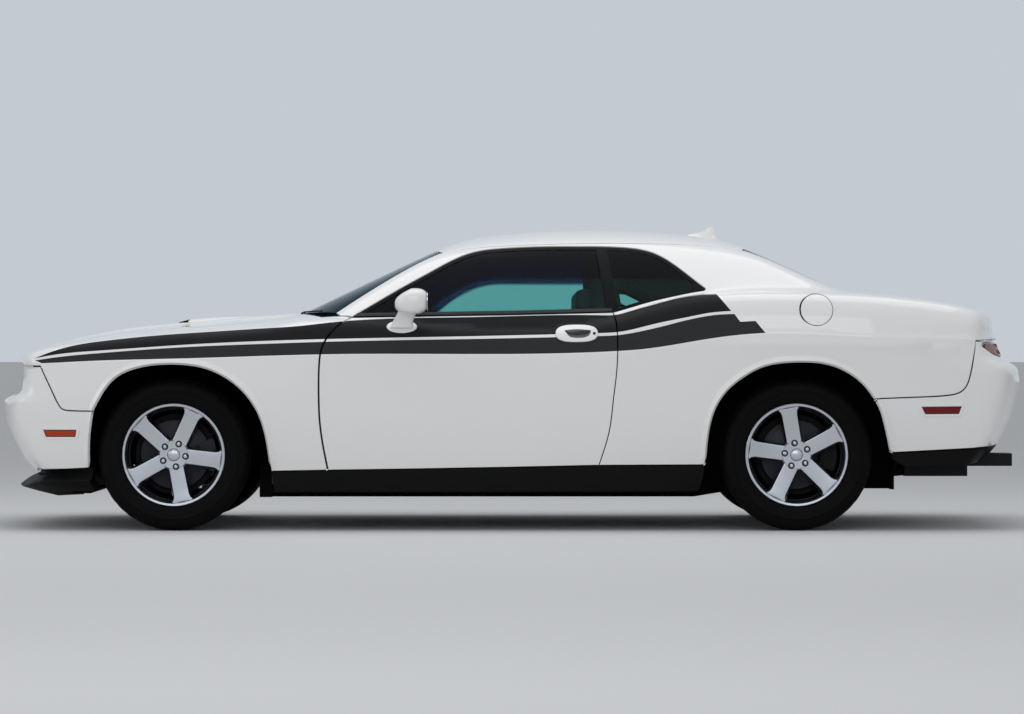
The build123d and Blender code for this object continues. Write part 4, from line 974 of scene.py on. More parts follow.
# The top and the foot of each stripe
STRIPES = {
    "upper": [
        [(-2.253, 0.814), (-2.160, 0.850), (-2.059, 0.877), (-1.910, 0.899), (-1.762, 0.915), (-1.568, 0.931),
         (-1.365, 0.944), (-1.180, 0.956), (-0.997, 0.968), (-0.831, 0.987), (-0.68, 0.998), (-0.524, 1.0045),
         (-0.20, 1.010), (0.420, 1.019), (0.500, 1.0215), (0.570, 1.040), (0.656, 1.064), (0.735, 1.086),
         (0.812, 1.104), (0.870, 1.113), (0.930, 1.118), (0.9725, 1.1185)],
        [(-2.253, 0.814), (-2.160, 0.831), (-1.946, 0.851), (-1.568, 0.877), (-1.185, 0.896), (-0.855, 0.906),
         (-0.20, 0.919), (0.420, 0.934), (0.505, 0.939), (0.570, 0.9505), (0.656, 0.972), (0.735, 0.990),
         (0.812, 1.005), (0.870, 1.017), (0.930, 1.0285), (0.985, 1.0345), (1.0386, 1.038)],
    ],
    "lower": [
        [(-2.248, 0.805), (-2.160, 0.818), (-1.946, 0.839), (-1.568, 0.866), (-1.185, 0.8825),
         (-0.855, 0.8935), (-0.20, 0.906), (0.420, 0.920), (0.505, 0.9245), (0.570, 0.934), (0.656, 0.952),
         (0.735, 0.971), (0.812, 0.991), (0.890, 1.008), (0.968, 1.020), (1.053, 1.024), (1.081, 0.987),
         (1.152, 0.991), (1.199, 0.9343)],
        [(-2.248, 0.805), (-2.215, 0.797)],
    ],
}


def crease_points(start, end, lift=0.0, step=0.03):
    """The side's crease between two x, or a line at lift above it."""
    xs = np.arange(start, end, step)
    return [(x, along(3, x) + lift) for x in xs]


def stripe_polygons():
    """Both stripes as closed outlines; the lower one ends in three corners and runs back along the crease."""
    upper = curved(STRIPES["upper"][0], 0.02) + curved(STRIPES["upper"][1], 0.02)[::-1]
    low_top = curved(STRIPES["lower"][0][:-3], 0.02) + STRIPES["lower"][0][-3:]
    lower = low_top + crease_points(-2.215, 1.199)[::-1]
    return np.array(upper), np.array(lower)


STRIPE_UPPER_RING, STRIPE_LOWER_RING = stripe_polygons()


def stripe_paint(middles):
    """Each triangle's slot: paint, upper stripe or lower stripe."""
    flat = middles[:, [0, 2]]
    upper = within(STRIPE_UPPER_RING, flat)
    lower = within(STRIPE_LOWER_RING, flat) & ~upper
    return np.where(upper, 1, np.where(lower, 2, 0))


def side_lines(low, high):
    """The runs that edges must follow between two x: stripe edges, the crease and the arch lips."""
    runs = []
    for ring in (STRIPE_UPPER_RING, STRIPE_LOWER_RING):
        closed = [*map(tuple, ring), tuple(ring[0])]
        part = []
        for p in closed:
            if low - 0.05 <= p[0] <= high + 0.05:
                part.append(p)
            else:
                if len(part) > 1:
                    runs.append(part)
                part = []
        if len(part) > 1:
            runs.append(part)
    start, end = max(low - 0.03, -2.2), min(high + 0.03, 2.19)
    # The lower stripe's own edge is the crease line, so only its neighbours are added beside it
    for lift in (-0.006, 0.005):
        runs.append(crease_points(start, end, lift))
    if end > 1.22:
        runs.append(crease_points(max(start, 1.215), end))
    for end_name in ENDS:
        if low - 0.5 < AXLE_X[end_name] < high + 0.5:
            turns = np.linspace(-1.95, 1.72, 70) if end_name == "rear" else np.linspace(-1.55, 1.72, 70)
            for past in (LIP_WIDTH - 0.001, LIP_WIDTH + LIP_STEP + 0.001):
                r = arch_radius(end_name, turns) + past
                p = np.stack([AXLE_X[end_name] + r * np.sin(turns), WHEEL_Z + r * np.cos(turns)], 1)
                p = p[(p[:, 1] > 0.335) & (p[:, 0] > low - 0.02) & (p[:, 0] < high + 0.02)]
                if len(p) > 2:
                    runs.append([tuple(q) for q in p])
    return [found(car_gap, "side", divided(run, 0.016)) for run in runs]


# Heights of the runs over the front and rear bumpers' top corners
BUMPER_CORNER, TAIL_CORNER = (0.585, 0.602, 0.614, 0.627), (0.735, 0.752, 0.765, 0.782, 0.800)


def end_lines(how, heights):
    """The runs across the nose or tail that edges must follow, at each height."""
    return [found(car_gap, how, divided([(-0.70, z), (0.70, z)], 0.02)) for z in heights]


# ---- painted panels ------------------------------------------------------------------------------

SKIN = [PAINT, STRIPE_UPPER, STRIPE_LOWER, "steel_primed_black"]
PLAIN_SKIN = [PAINT, "steel_primed_black"]
# The same finish on a panel's face and back
PAINT_SHELL, BLACK_SHELL, GLOSS_SHELL = [PAINT] * 2, [BLACK_PLASTIC] * 2, ["abs_black_gloss"] * 2
NOSE_TOP = 0.777
# Columns: x, y, seen from above
HOOD_SIDE = [(-2.300, -0.716), (-2.20, -0.726), (-1.80, -0.741), (-1.30, -0.757), (-0.897, -0.775)]
HOOD_BACK = [(-0.897, -0.775), (-0.925, -0.700), (-0.975, -0.560), (-1.020, -0.400), (-1.055, -0.200),
             (-1.066, 0.0)]
DECK_SIDE = [(1.690, -0.655), (1.90, -0.668), (2.15, -0.684), (2.262, -0.695)]
ROOF_SIDE = [(-0.330, -0.545), (-0.05, -0.556), (0.30, -0.558), (0.70, -0.548), (1.00, -0.528),
             (1.115, -0.512)]
SHIELD_SIDE = [(-0.330, -0.538), (-0.50, -0.617), (-0.66, -0.692), (-0.834, -0.770)]
SHIELD_TOP = [(-0.366, 0.0), (-0.362, -0.25), (-0.350, -0.46), (-0.330, -0.538)]
BACK_SIDE = [(1.115, -0.505), (1.25, -0.550), (1.45, -0.600), (1.575, -0.628)]
BACK_TOP = [(1.150, 0.0), (1.145, -0.25), (1.130, -0.43), (1.115, -0.505)]
# The fuel flap: x, z, radius
FUEL = (1.442, 1.045, 0.0755)


def circle(centre, radius, steps=40):
    """A closed outline round a flat point."""
    turns = [2 * math.pi * k / steps for k in range(steps)]
    return [(centre[0] + radius * math.cos(t), centre[1] + radius * math.sin(t)) for t in turns]


def build_front_bumper():
    """The front bumper cover with its lower intake cut out."""
    arch = [p for p in arch_run("front")[::-1] if p[0] < AXLE_X["front"] - 0.3 and 0.32 < p[1] < 0.550]
    half = ring_of(
        run_of("front", [(-0.0001, 0.270), (-0.40, 0.271), (-0.70, 0.276), (-0.82, 0.284)], smooth=True),
        run_of("side", [(-2.10, 0.290), (-1.995, 0.296)]),
        run_of("side", [(-1.9955, 0.30), *arch, (-1.976, 0.562)], smooth=True),
        run_of("side", BUMPER_SEAM[::-1], smooth=True),
        run_of("front", rounded([(-0.862, NOSE_TOP), (-0.772, NOSE_TOP), (-0.748, 0.640), (-0.0001, 0.640)],
                                [0, 0.030, 0.035, 0], 0.010)),
    )
    intake = rounded([(0.0, 0.455), (0.500, 0.455), (0.560, 0.430), (0.500, 0.335), (0.0, 0.335)],
                     [0, 0.03, 0.02, 0.04, 0], 0.012)
    intake += [(-y, z) for y, z in intake[-2:0:-1]]
    lines = side_lines(-2.4, -1.96) + end_lines("front", BUMPER_CORNER)
    made = panel("front_bumper_skin", car_gap, ROUND, mirrored(half), lines, [run_of("front", intake)[:-1]],
                 inset=EDGE)
    dress(made, "body", PLAIN_SKIN, ("front_bumper",))


# How deep a panel's edge returns, and how deep beside a moving panel
FULL, THIN = 0.016, 0.004
# The fender ends this much early, to leave room for the open door's skin
DOOR_SWING_GAP = 0.0035


def fender_depth(p):
    """The fender's return is thin where the door's edge swings in behind it."""
    return FULL - (FULL - THIN) * smooth_step(p[:, 0], -1.02, -0.96)


def door_depth(p):
    """The door's return is thin at its front edge."""
    return THIN + (FULL - THIN) * smooth_step(p[:, 0], -0.84, -0.78)


def quarter_depth(p):
    """The return round the fuel flap is thin, for the flap's hinge."""
    return THIN + (FULL - THIN) * smooth_step(np.hypot(p[:, 0] - FUEL[0], p[:, 2] - FUEL[1]), 0.10, 0.13)


def build_fenders():
    """The front fenders, from the bumper's seam to the door."""
    arch = [p for p in arch_run("front") if p[1] > 0.575 or p[0] > AXLE_X["front"]]
    outline = ring_of(
        run_of("side", arch[:-1] + [(-1.974, 0.572)], smooth=True),
        run_of("side", BUMPER_SEAM[::-1], smooth=True),
        run_of("front", [(-0.862, NOSE_TOP), (-0.712, NOSE_TOP)]),
        run_of("front", [(-0.709, 0.790), (-0.712, 0.835)]),
        run_of("top", HOOD_SIDE, smooth=True),
        run_of("side", [(-0.840, 1.0165), (-0.790, 1.016)]),
        run_of("side", [(x - DOOR_SWING_GAP, z) for x, z in DOOR_FRONT], smooth=True),
        run_of("side", [(-0.863, 0.286), (-1.125, 0.281)]),
    )
    skins = panel("fender_skin", car_gap, ROUND, outline, side_lines(-2.35, -0.76), spacing=0.020,
                  depth=fender_depth, paint=stripe_paint, sides=LEFT_RIGHT, inset=EDGE)
    for made, side in zip(skins, LEFT_RIGHT):
        dress(made, "body", SKIN, (f"fender_{side}",))


def build_hood():
    """The hood, with the edges of its raised middle."""
    half = ring_of(
        run_of("front", [(-0.0001, 0.784), (-0.705, 0.784)]),
        run_of("front", [(-0.709, 0.795), (-0.712, 0.835)]),
        run_of("top", HOOD_SIDE, smooth=True),
        run_of("top", HOOD_BACK, smooth=True),
    )
    ridge = [found(car_gap, "top", divided([(x, s * y) for x in np.arange(-2.30, -1.10, 0.03)], 0.03))
             for s in (-1, 1) for y in (HOOD_STEP_FROM, (HOOD_STEP_FROM + HOOD_STEP_TO) / 2, HOOD_STEP_TO)]
    made = panel("hood_skin", car_gap, CrossMap(-1.45, 0.30, 0.65), mirrored(half), ridge, spacing=0.026,
                 inset=EDGE)
    dress(made, "hood", PLAIN_SKIN, ("hood",))


def build_doors():
    """Each door's skin, the box behind it and its trim card."""
    outline = ring_of(
        run_of("side", DOOR_BELT),
        run_of("side", DOOR_REAR, smooth=True),
        run_of("side", SILL_TOP),
        run_of("side", DOOR_FRONT[::-1], smooth=True),
    )
    skins = panel("door_skin", car_gap, ROUND, outline, side_lines(-0.92, 0.52), depth=door_depth,
                  paint=stripe_paint, sides=LEFT_RIGHT, inset=EDGE)
    frames = panel("door_box", car_gap, ROUND, outline, spacing=0.06, depth=0.085, level=-0.021,
                   sides=LEFT_RIGHT, inset=0.012)
    cards = panel("door_card", car_gap, ROUND, outline, spacing=0.05, depth=0.012, level=-0.112,
                  sides=LEFT_RIGHT, inset=0.045, roll=0.008)
    for k, side in enumerate(LEFT_RIGHT):
        body = f"door_{side}"
        dress(skins[k], body, SKIN, (body,))
        dress(frames[k], body, PLAIN_SKIN)
        dress(cards[k], body, ["vinyl_skin_grey"] * 2)


def build_body_sides():
    """Windshield pillar, roof rail, rear pillar and quarter panel, one pressing on each side."""
    arch = [(1.7155, 0.627)] + [p for p in arch_run("rear") if p[1] > 0.66 or p[0] < AXLE_X["rear"]]
    top_z = 0.903
    outline = ring_of(
        run_of("side", DOOR_REAR[::-1], smooth=True),
        run_of("side", WINDOW_FOOT[::-1], smooth=True),
        run_of("side", WINDOW_TIP[::-1], step=0.006),
        run_of("side", WINDOW_TOP[::-1], smooth=True),
        run_of("side", [(-0.775, 1.0155), (-0.815, 1.018)]),
        run_of("top", SHIELD_SIDE[::-1], smooth=True),
        run_of("top", ROOF_SIDE, smooth=True),
        run_of("top", BACK_SIDE[1:], smooth=True),
        run_of("top", [(1.640, -0.640), (1.680, -0.652)]),
        run_of("top", DECK_SIDE, smooth=True),
        run_of("rear", [(-0.705, 1.000), (-0.708, 0.930), (-0.712, top_z), (-0.80, top_z - 0.004)]),
        run_of("side", [(2.240, 0.8985), (2.196, 0.897)]),
        run_of("side", REAR_SEAM[::-1], smooth=True),
        run_of("side", arch, smooth=True),
        run_of("side", [(0.915, 0.311), (0.425, 0.309)]),
    )
    lines = side_lines(0.41, 2.25)
    # The hole reaches a little further at the flap's hinge
    hole = circle(FUEL[:2], FUEL[2] + 0.005)
    fuel = [run_of("side", [(x - 0.0045 * smooth_step(FUEL[0] - x, 0.03, 0.07), z) for x, z in hole])]
    for side, holes in (("left", fuel), ("right", [])):
        made, = panel("body_side_skin", car_gap, ROUND, outline, lines, holes, depth=quarter_depth,
                      paint=stripe_paint, sides=(side,), inset=EDGE)
        dress(made, "body", SKIN, (f"quarter_{side}",))


def build_fuel_flap():
    """The fuel flap and the cup behind it."""
    made = panel("fuel_flap", car_gap, ROUND, run_of("side", circle(FUEL[:2], FUEL[2] - 0.0028)),
                 spacing=0.016, depth=0.003)
    dress(made, "fuel_door", PLAIN_SKIN, ("fuel_door",))
    cup = panel("fuel_pocket_cup", car_gap, ROUND, run_of("side", circle(FUEL[:2], FUEL[2] + 0.006)),
                spacing=0.03, depth=0.002, level=-0.022, roll=0.001)
    dress(cup, "body", BLACK_SHELL)


def build_roof():
    """The roof panel between the windshield and the rear window."""
    half = ring_of(
        run_of("top", SHIELD_TOP, smooth=True),
        run_of("top", ROOF_SIDE, smooth=True),
        run_of("top", BACK_TOP[::-1], smooth=True),
    )
    made = panel("roof_skin", car_gap, CABIN_MAP, mirrored(half), spacing=0.035, inset=EDGE)
    dress(made, "body", PLAIN_SKIN, ("roof",))


def build_decklid():
    """The decklid, down to the lamps."""
    half = ring_of(
        run_of("rear", [(-0.0001, 0.906), (-0.700, 0.906)]),
        run_of("rear", [(-0.702, 0.930), (-0.700, 1.000)]),
        run_of("top", DECK_SIDE[::-1], smooth=True),
        run_of("top", [(1.690, -0.652), (1.690, -0.0001)]),
    )
    made = panel("decklid_skin", car_gap, CrossMap(1.90, 0.50, 0.6), mirrored(half), spacing=0.028,
                 inset=EDGE)
    dress(made, "decklid", PLAIN_SKIN, ("decklid",))


def build_rear_bumper():
    """The rear bumper cover with its plate recess."""
    half = ring_of(
        run_of("rear", [(-0.0001, 0.402), (-0.55, 0.400), (-0.78, 0.394)], smooth=True),
        run_of("side", [(2.19, 0.389), (1.797, 0.369)]),
        run_of("side", [(1.795, 0.366), (1.767, 0.4916), (1.732, 0.5965), (1.718, 0.6205)], smooth=True),
        run_of("side", REAR_SEAM, smooth=True),
        run_of("side", [(2.202, 0.8975), (2.238, 0.8980), (2.2265, 0.8720), (2.240, 0.8680)]),
        run_of("rear", [(-0.825, 0.855), (-0.78, 0.840), (-0.72, 0.828), (-0.60, 0.820), (-0.0001, 0.818)],
               smooth=True),
    )
    lines = side_lines(1.74, 2.25) + end_lines("rear", TAIL_CORNER)
    recess = run_of("rear", box_outline((-0.158, 0.590), (0.158, 0.720), 0.012))
    made = panel("rear_bumper_skin", car_gap, ROUND_REAR, mirrored(half), lines, [recess], inset=EDGE)
    dress(made, "body", PLAIN_SKIN, ("rear_bumper",))


# ---- glass ---------------------------------------------------------------------------------------

def build_windshield():
    """The windshield, laid just under the body's surface."""
    half = ring_of(
        run_of("top", SHIELD_TOP, cabin_gap, smooth=True),
        run_of("top", SHIELD_SIDE, cabin_gap, smooth=True),
        run_of("top", [(-0.834, -0.770), (-0.925, -0.560), (-1.000, -0.300), (-1.036, -0.0001)], cabin_gap,
               smooth=True),
    )
    made = panel("windshield_pane", cabin_gap, CABIN_MAP, mirrored(half), spacing=0.035, depth=0.005,
                 level=-0.004, roll=0.001, inset=0.004)
    # The windshield's darker glass is painted shade
    dress(made, "body", ["float_glass_darkened_painted_shade"] * 2, ("windshield",))


def build_rear_window():
    """The rear window, laid the same way."""
    half = ring_of(
        run_of("top", BACK_TOP, cabin_gap, smooth=True),
        run_of("top", BACK_SIDE, cabin_gap, smooth=True),
        run_of("top", [(1.575, -0.628), (1.640, -0.350), (1.664, -0.0001)], cabin_gap, smooth=True),
    )
    made = panel("rear_window_pane", cabin_gap, CABIN_MAP, mirrored(half), spacing=0.03, depth=0.004,
                 level=-0.004, roll=0.001, inset=0.004)
    # The rear window's darker glass is painted shade
    dress(made, "body", ["float_glass_darkened_painted_shade"] * 2, ("rear_window",))


# Where the post between door glass and quarter window stands and how wide it is, and the surround's width
SPLIT_FOOT, SPLIT_TOP, POST = (0.461, 1.022), (0.405, 1.360), 0.052
SEAL = 0.013


def clipped(ring, a, b):
    """The part of a closed flat outline that lies to the left of the line from a to b."""
    out = []
    over = [(b[0] - a[0]) * (p[1] - a[1]) - (b[1] - a[1]) * (p[0] - a[0]) for p in ring]
    for k, p in enumerate(ring):
        q, now, then = ring[(k + 1) % len(ring)], over[k], over[(k + 1) % len(ring)]
        if now >= 0:
            out.append(tuple(p))
        if now * then < 0:
            t = now / (now - then)
            out.append((p[0] + (q[0] - p[0]) * t, p[1] + (q[1] - p[1]) * t))
    return out


def build_side_windows():
    """Door glass, quarter windows and the black surround that holds them."""
    over = curved(WINDOW_TOP) + WINDOW_TIP[1:] + curved(WINDOW_FOOT)[1:]
    under = [(0.484, 1.006), (-0.740, 0.992)]
    inner = [tuple(p) for p in drawn_in(np.array(divided([*over, *under, over[0]])[:-1]), SEAL)]
    inner = [p for p in inner if -0.712 < p[0] < 0.872]
    door = clipped(inner, SPLIT_FOOT, SPLIT_TOP)
    quarter = clipped(inner, (SPLIT_TOP[0] + POST, SPLIT_TOP[1]), (SPLIT_FOOT[0] + POST, SPLIT_FOOT[1]))
    belt = np.array(DOOR_BELT)
    upper = [p for p in door if p[1] > np.interp(p[0], belt[:, 0], belt[:, 1]) + 0.006]
    start = min(range(len(upper)), key=lambda k: upper[k][0])
    upper = upper[start:] + upper[:start]
    band = [*over, (0.459, 1.031), *upper[::-1]]
    rings = panel("window_surround", cabin_gap, CABIN_MAP, on_glass(band), (), [on_glass(quarter)],
                  spacing=0.03, depth=0.006, level=-0.0045, sides=LEFT_RIGHT, roll=0.0015)
    panes = panel("door_pane", cabin_gap, CABIN_MAP, on_glass(door), spacing=0.035, depth=0.0035,
                  level=-0.0065, sides=LEFT_RIGHT, roll=0.0008, inset=0.0035)
    rears = panel("quarter_pane", cabin_gap, CABIN_MAP, on_glass(quarter), spacing=0.03, depth=0.004,
                  level=-0.0065, sides=LEFT_RIGHT, roll=0.0008, inset=0.001)
    # The door and quarter panes carry the painted shade band over their upper part
    for k, side in enumerate(LEFT_RIGHT):
        dress(rings[k], "body", ["ceramic_band_black"] * 2)
        dress(panes[k], f"door_{side}", ["float_glass_painted_shade_band"] * 2, (f"door_glass_{side}",))
        dress(rears[k], "body", ["float_glass_painted_shade_band"] * 2, ("quarter_windows",))


# ---- trim, lamps and grille ----------------------------------------------------------------------

def side_patch(name, outline, level, depth, finishes, body="body", stands_for=(), spacing=0.02,
               roll=0.0015, holes=(), sides=LEFT_RIGHT, rear=False):
    """A small panel on both sides of the body, from its side view."""
    made = panel(name, car_gap, ROUND_REAR if rear else ROUND, run_of("side", outline), (),
                 [run_of("side", h) for h in holes], spacing=spacing, depth=depth, level=level, sides=sides,
                 roll=roll)
    for thing, side in zip(made, sides):
        dress(thing, body.format(side), finishes, [n.format(side) for n in stands_for])


def build_markers():
    """Amber front and red rear side markers, each with a gasket and a painted surround."""
    for name, outline, lens in (
        ("marker_front", [(-2.210, 0.4795), (-2.046, 0.4795), (-2.052, 0.441), (-2.195, 0.441)],
         "polycarbonate_amber"),
        ("marker_rear", [(1.931, 0.588), (2.128, 0.590), (2.113, 0.549), (1.950, 0.548)],
         "polycarbonate_red"),
    ):
        ring = np.array(rounded([*outline, outline[0]], [0.004] * 5, 0.006)[:-1])
        rear = "rear" in name
        side_patch(name + "_lens", drawn_in(ring, 0.0075), 0.0030, 0.005, [lens, lens],
                   stands_for=("side_markers",), spacing=0.012, rear=rear)
        side_patch(name + "_gasket", drawn_in(ring, -0.001), 0.0022, 0.003, ["rubber_seal_black"] * 2,
                   spacing=0.02, rear=rear)
        side_patch(name + "_surround", drawn_in(ring, -0.008), 0.0035, 0.005, PAINT_SHELL,
                   holes=[ring], spacing=0.02, rear=rear, roll=0.003)


def build_sills():
    """Black covers along the sills, between the wheel arches."""
    outline = [(-1.128, 0.276), (-0.863, 0.281), (0.0, 0.295), (0.415, 0.304), (0.912, 0.306), (0.905, 0.250),
               (0.890, 0.200), (0.880, 0.186), (-1.116, 0.182), (-1.123, 0.215)]
    side_patch("sill_cover", rounded([*outline, outline[0]], [0.004] * 11, 0.02)[:-1], -0.003, 0.045,
               BLACK_SHELL, stands_for=("lower_trim",), spacing=0.035)


def build_valance():
    """The black panel under the rear bumper."""
    half = ring_of(
        run_of("rear", [(-0.0001, 0.312), (-0.50, 0.312), (-0.515, 0.345), (-0.695, 0.345), (-0.712, 0.312),
                        (-0.76, 0.305)]),
        run_of("side", [(2.24, 0.318), (2.10, 0.309), (1.87, 0.303), (1.835, 0.318), (1.803, 0.340)]),
        run_of("side", [(1.799, 0.362), (2.19, 0.382)]),
        run_of("rear", [(-0.78, 0.386), (-0.55, 0.392), (-0.0001, 0.394)]),
    )
    made = panel("rear_valance", car_gap, ROUND_REAR, mirrored(half), (), level=-0.003, depth=0.012,
                 spacing=0.03, roll=0.002)
    dress(made, "body", BLACK_SHELL, ("lower_trim",))


def build_splitter():
    """The chin spoiler, swept along the bottom of the nose."""
    plan = curved([(-0.905, 0.520), (-0.872, 0.400), (-0.800, 0.270), (-0.60, 0.168), (-0.33, 0.122),
                   (0.0, 0.100)], 0.03)
    plan += [(-y, back) for y, back in plan[-2::-1]]
    run = np.array([(NOSE_X + back, y) for y, back in plan])
    # Columns: distance behind the edge, z
    profile = [(0.0, 0.205), (0.010, 0.214), (0.045, 0.238), (0.095, 0.262), (0.100, 0.284), (0.115, 0.284),
               (0.155, 0.235), (0.300, 0.172), (0.290, 0.160), (0.165, 0.155), (0.080, 0.176), (0.008, 0.197)]
    points = []
    for i, (x, y) in enumerate(run):
        go = run[min(i + 1, len(run) - 1)] - run[max(i - 1, 0)]
        inward = np.array([go[1], -go[0]]) / np.hypot(*go)
        taper = smooth_step(abs(y), 0.62, 0.90)
        for back, z in profile:
            back = back * (1 - 0.45 * taper)
            lift = 0.028 * taper if z < 0.23 else 0.010 * smooth_step(abs(y), 0.5, 0.85) * (z > 0.25)
            points.append((x + inward[0] * back, y + inward[1] * back * 0.9, z + lift))
    n, m = len(profile), len(run)
    faces = ring_faces(m, n) + [tuple(range(n)), tuple(range(m * n - 1, (m - 1) * n - 1, -1))]
    thing = solid("chin_splitter", points, faces, sharp=40)
    dress(thing, "body", [BLACK_PLASTIC], ("lower_trim",))
    pan = prism("nose_undertray", [(NOSE_X + 0.32, -0.62), (NOSE_X + 0.50, -0.66), (NOSE_X + 0.50, 0.66),
                                   (NOSE_X + 0.32, 0.62)],
                0.168, 0.176, "z")
    dress(bevelled(pan, 0.002), "body", [BLACK_PLASTIC])


def honeycomb(name, low, high, level, cell, wall, depth, inside):
    """A hexagon mesh grid across the nose, level behind its surface; inside says which cells are kept."""
    points, faces, cells = [], [], []
    step_y, step_z = cell * 1.5, cell * math.sqrt(3)
    corners = [math.radians(60 * k) for k in range(6)]
    rows = int((high[1] - low[1]) / step_z) + 2
    columns = int((high[0] - low[0]) / step_y) + 2
    for c in range(columns):
        for r in range(rows):
            cy, cz = low[0] + c * step_y, low[1] + r * step_z + (step_z / 2 if c % 2 else 0)
            if inside(cy, cz):
                cells.append((cy, cz))
    for (cy, cz), x in zip(cells, found(car_gap, "front", cells, level)[:, 0]):
        base = len(points)
        for rad, dx in ((cell, 0), (cell - wall, 0), (cell, depth), (cell - wall, depth)):
            points += [(x + dx, cy + rad * math.cos(t), cz + rad * math.sin(t)) for t in corners]
        for k in range(6):
            j = (k + 1) % 6
            a, b, e, f = base + k, base + 6 + k, base + 12 + k, base + 18 + k
            a2, b2, e2, f2 = base + j, base + 6 + j, base + 12 + j, base + 18 + j
            faces += [(a, a2, b2, b), (b, b2, f2, f), (e, f, f2, e2), (a, e, e2, a2)]
    mesh = bpy.data.meshes.new(name)
    mesh.from_pydata(points, [], faces)
    thing = bpy.data.objects.new(name, mesh)
    bpy.context.collection.objects.link(thing)
    return thing


# The thickness of the shelves over and under the grille
SHELF_THICK, SHELF_HEIGHTS = 0.004, (0.632, 0.786)
# The mesh and its rails fill the grille between the lamps, this far from the middle
GRILLE_HALF, RAIL_HEIGHTS = 0.36, {"top": 0.745, "middle": 0.706, "bottom": 0.667}
# Columns: y and z of each round lamp
LAMPS = [(-0.645, 0.705), (-0.455, 0.705), (0.455, 0.705), (0.645, 0.705)]


def build_grille():
    """The deep black grille opening with its mesh, rails and four round lamps."""
    opening = rounded([(-0.0001, 0.792), (-0.770, 0.792), (-0.792, 0.700), (-0.765, 0.624), (-0.0001, 0.624)],
                      [0, 0.03, 0.03, 0.03, 0])
    back = panel("grille_backing", car_gap, ROUND, mirrored(run_of("front", opening)), level=-0.105,
                 depth=0.004, spacing=0.05, roll=0.001)
    dress(back, "body", GLOSS_SHELL, ("grille",))
    for name, z in (("upper", SHELF_HEIGHTS[1]), ("lower", SHELF_HEIGHTS[0])):
        ys = np.linspace(-0.775, 0.775, 60)
        front = found(car_gap, "front", [(y, z) for y in ys], -0.020)
        rear = found(car_gap, "front", [(y, z) for y in ys], -0.120)
        points = [*front, *rear, *(front + (0, 0, SHELF_THICK)), *(rear + (0, 0, SHELF_THICK))]
        n = len(ys)
        faces = []
        for k in range(n - 1):
            a, b, c, d = k, n + k, 2 * n + k, 3 * n + k
            faces += [(a, a + 1, b + 1, b), (c, d, d + 1, c + 1), (a, c, c + 1, a + 1), (b, b + 1, d + 1, d)]
        faces += [(0, n, 3 * n, 2 * n), (n - 1, 3 * n - 1, 4 * n - 1, 2 * n - 1)]
        thing = solid(f"grille_{name}_shelf", points, faces)
        dress(thing, "body", [BLACK_PLASTIC])
    ys = np.linspace(-GRILLE_HALF, GRILLE_HALF, 50)
    for name, z in RAIL_HEIGHTS.items():
        face = found(car_gap, "front", [(y, z) for y in ys], -0.050)
        thing = tube(f"grille_{name}_rail", [tuple(p) for p in face], 0.0045, 8)
        dress(thing, "body", ["abs_black_gloss"])
    mesh = honeycomb("grille_mesh", (-GRILLE_HALF, 0.640), (GRILLE_HALF, 0.785), -0.055, 0.013, 0.0026, 0.006,
                     lambda y, z: abs(y) < GRILLE_HALF + 0.002 and 0.642 < z < 0.778)
    dress(mesh, "body", [BLACK_PLASTIC])
    lower = honeycomb("intake_mesh", (-0.55, 0.345), (0.55, 0.450), -0.035, 0.014, 0.0028, 0.006,
                      lambda y, z: abs(y) < 0.53 - 0.4 * max(0.40 - z, 0) and 0.345 < z < 0.448)
    dress(lower, "body", [BLACK_PLASTIC])
    opening = [(-0.0001, 0.470), (-0.580, 0.470), (-0.570, 0.322), (-0.0001, 0.322)]
    intake = panel("intake_backing", car_gap, ROUND, mirrored(run_of("front", opening)), level=-0.085,
                   depth=0.004, spacing=0.05, roll=0.001)
    dress(intake, "body", GLOSS_SHELL, ("grille",))
    for y, z in LAMPS:
        x = float(found(car_gap, "front", [(y, z)], -0.030)[0][0])
        label = f"{'left' if y < 0 else 'right'}_{'outer' if abs(y) > 0.5 else 'inner'}"
        rings = [
            ("lamp_bezel", [(0.062, 0.075), (0.064, 0.0), (0.062, -0.004), (0.057, -0.003), (0.055, 0.004),
                            (0.054, 0.070)], "abs_black_gloss"),
            ("lamp_bowl", [(0.054, 0.006), (0.050, 0.020), (0.041, 0.040), (0.026, 0.055), (0.012, 0.060),
                           (0.0, 0.060), (0.0, 0.064), (0.030, 0.060), (0.048, 0.042), (0.0555, 0.020),
                           (0.0555, 0.006)], "reflector_vacuum_metallised"),
            ("lamp_lens", [(0.0, -0.010), (0.022, -0.0085), (0.040, -0.0045), (0.0545, 0.003),
                           (0.0545, 0.006), (0.040, -0.0015), (0.022, -0.0055), (0.0, -0.0070)],
                           "polycarbonate_clear"),
            ("lamp_bulb", [(0.0, 0.022), (0.008, 0.024), (0.013, 0.031), (0.014, 0.042), (0.010, 0.058),
                           (0.0, 0.058)], "steel_chromed"),
        ]
        for name, profile, finish in rings:
            thing = front_lathe(f"{name}_{label}", profile, (x, y, z))
            dress(thing, "body", [finish], ("headlamps",) if name == "lamp_lens" else ())


def front_lathe(name, profile, at, segments=48):
    """A ring about X from (radius, distance behind the face) pairs."""
    points = []
    n = len(profile)
    for i in range(segments):
        t = 2 * math.pi * i / segments
        points += [(back, r * math.cos(t), r * math.sin(t)) for r, back in profile]
    faces = [f for f in ring_faces(segments, n, closed=True) if profile[f[0] % n][0] or profile[f[1] % n][0]]
    return solid(name, points, faces, at, 40)


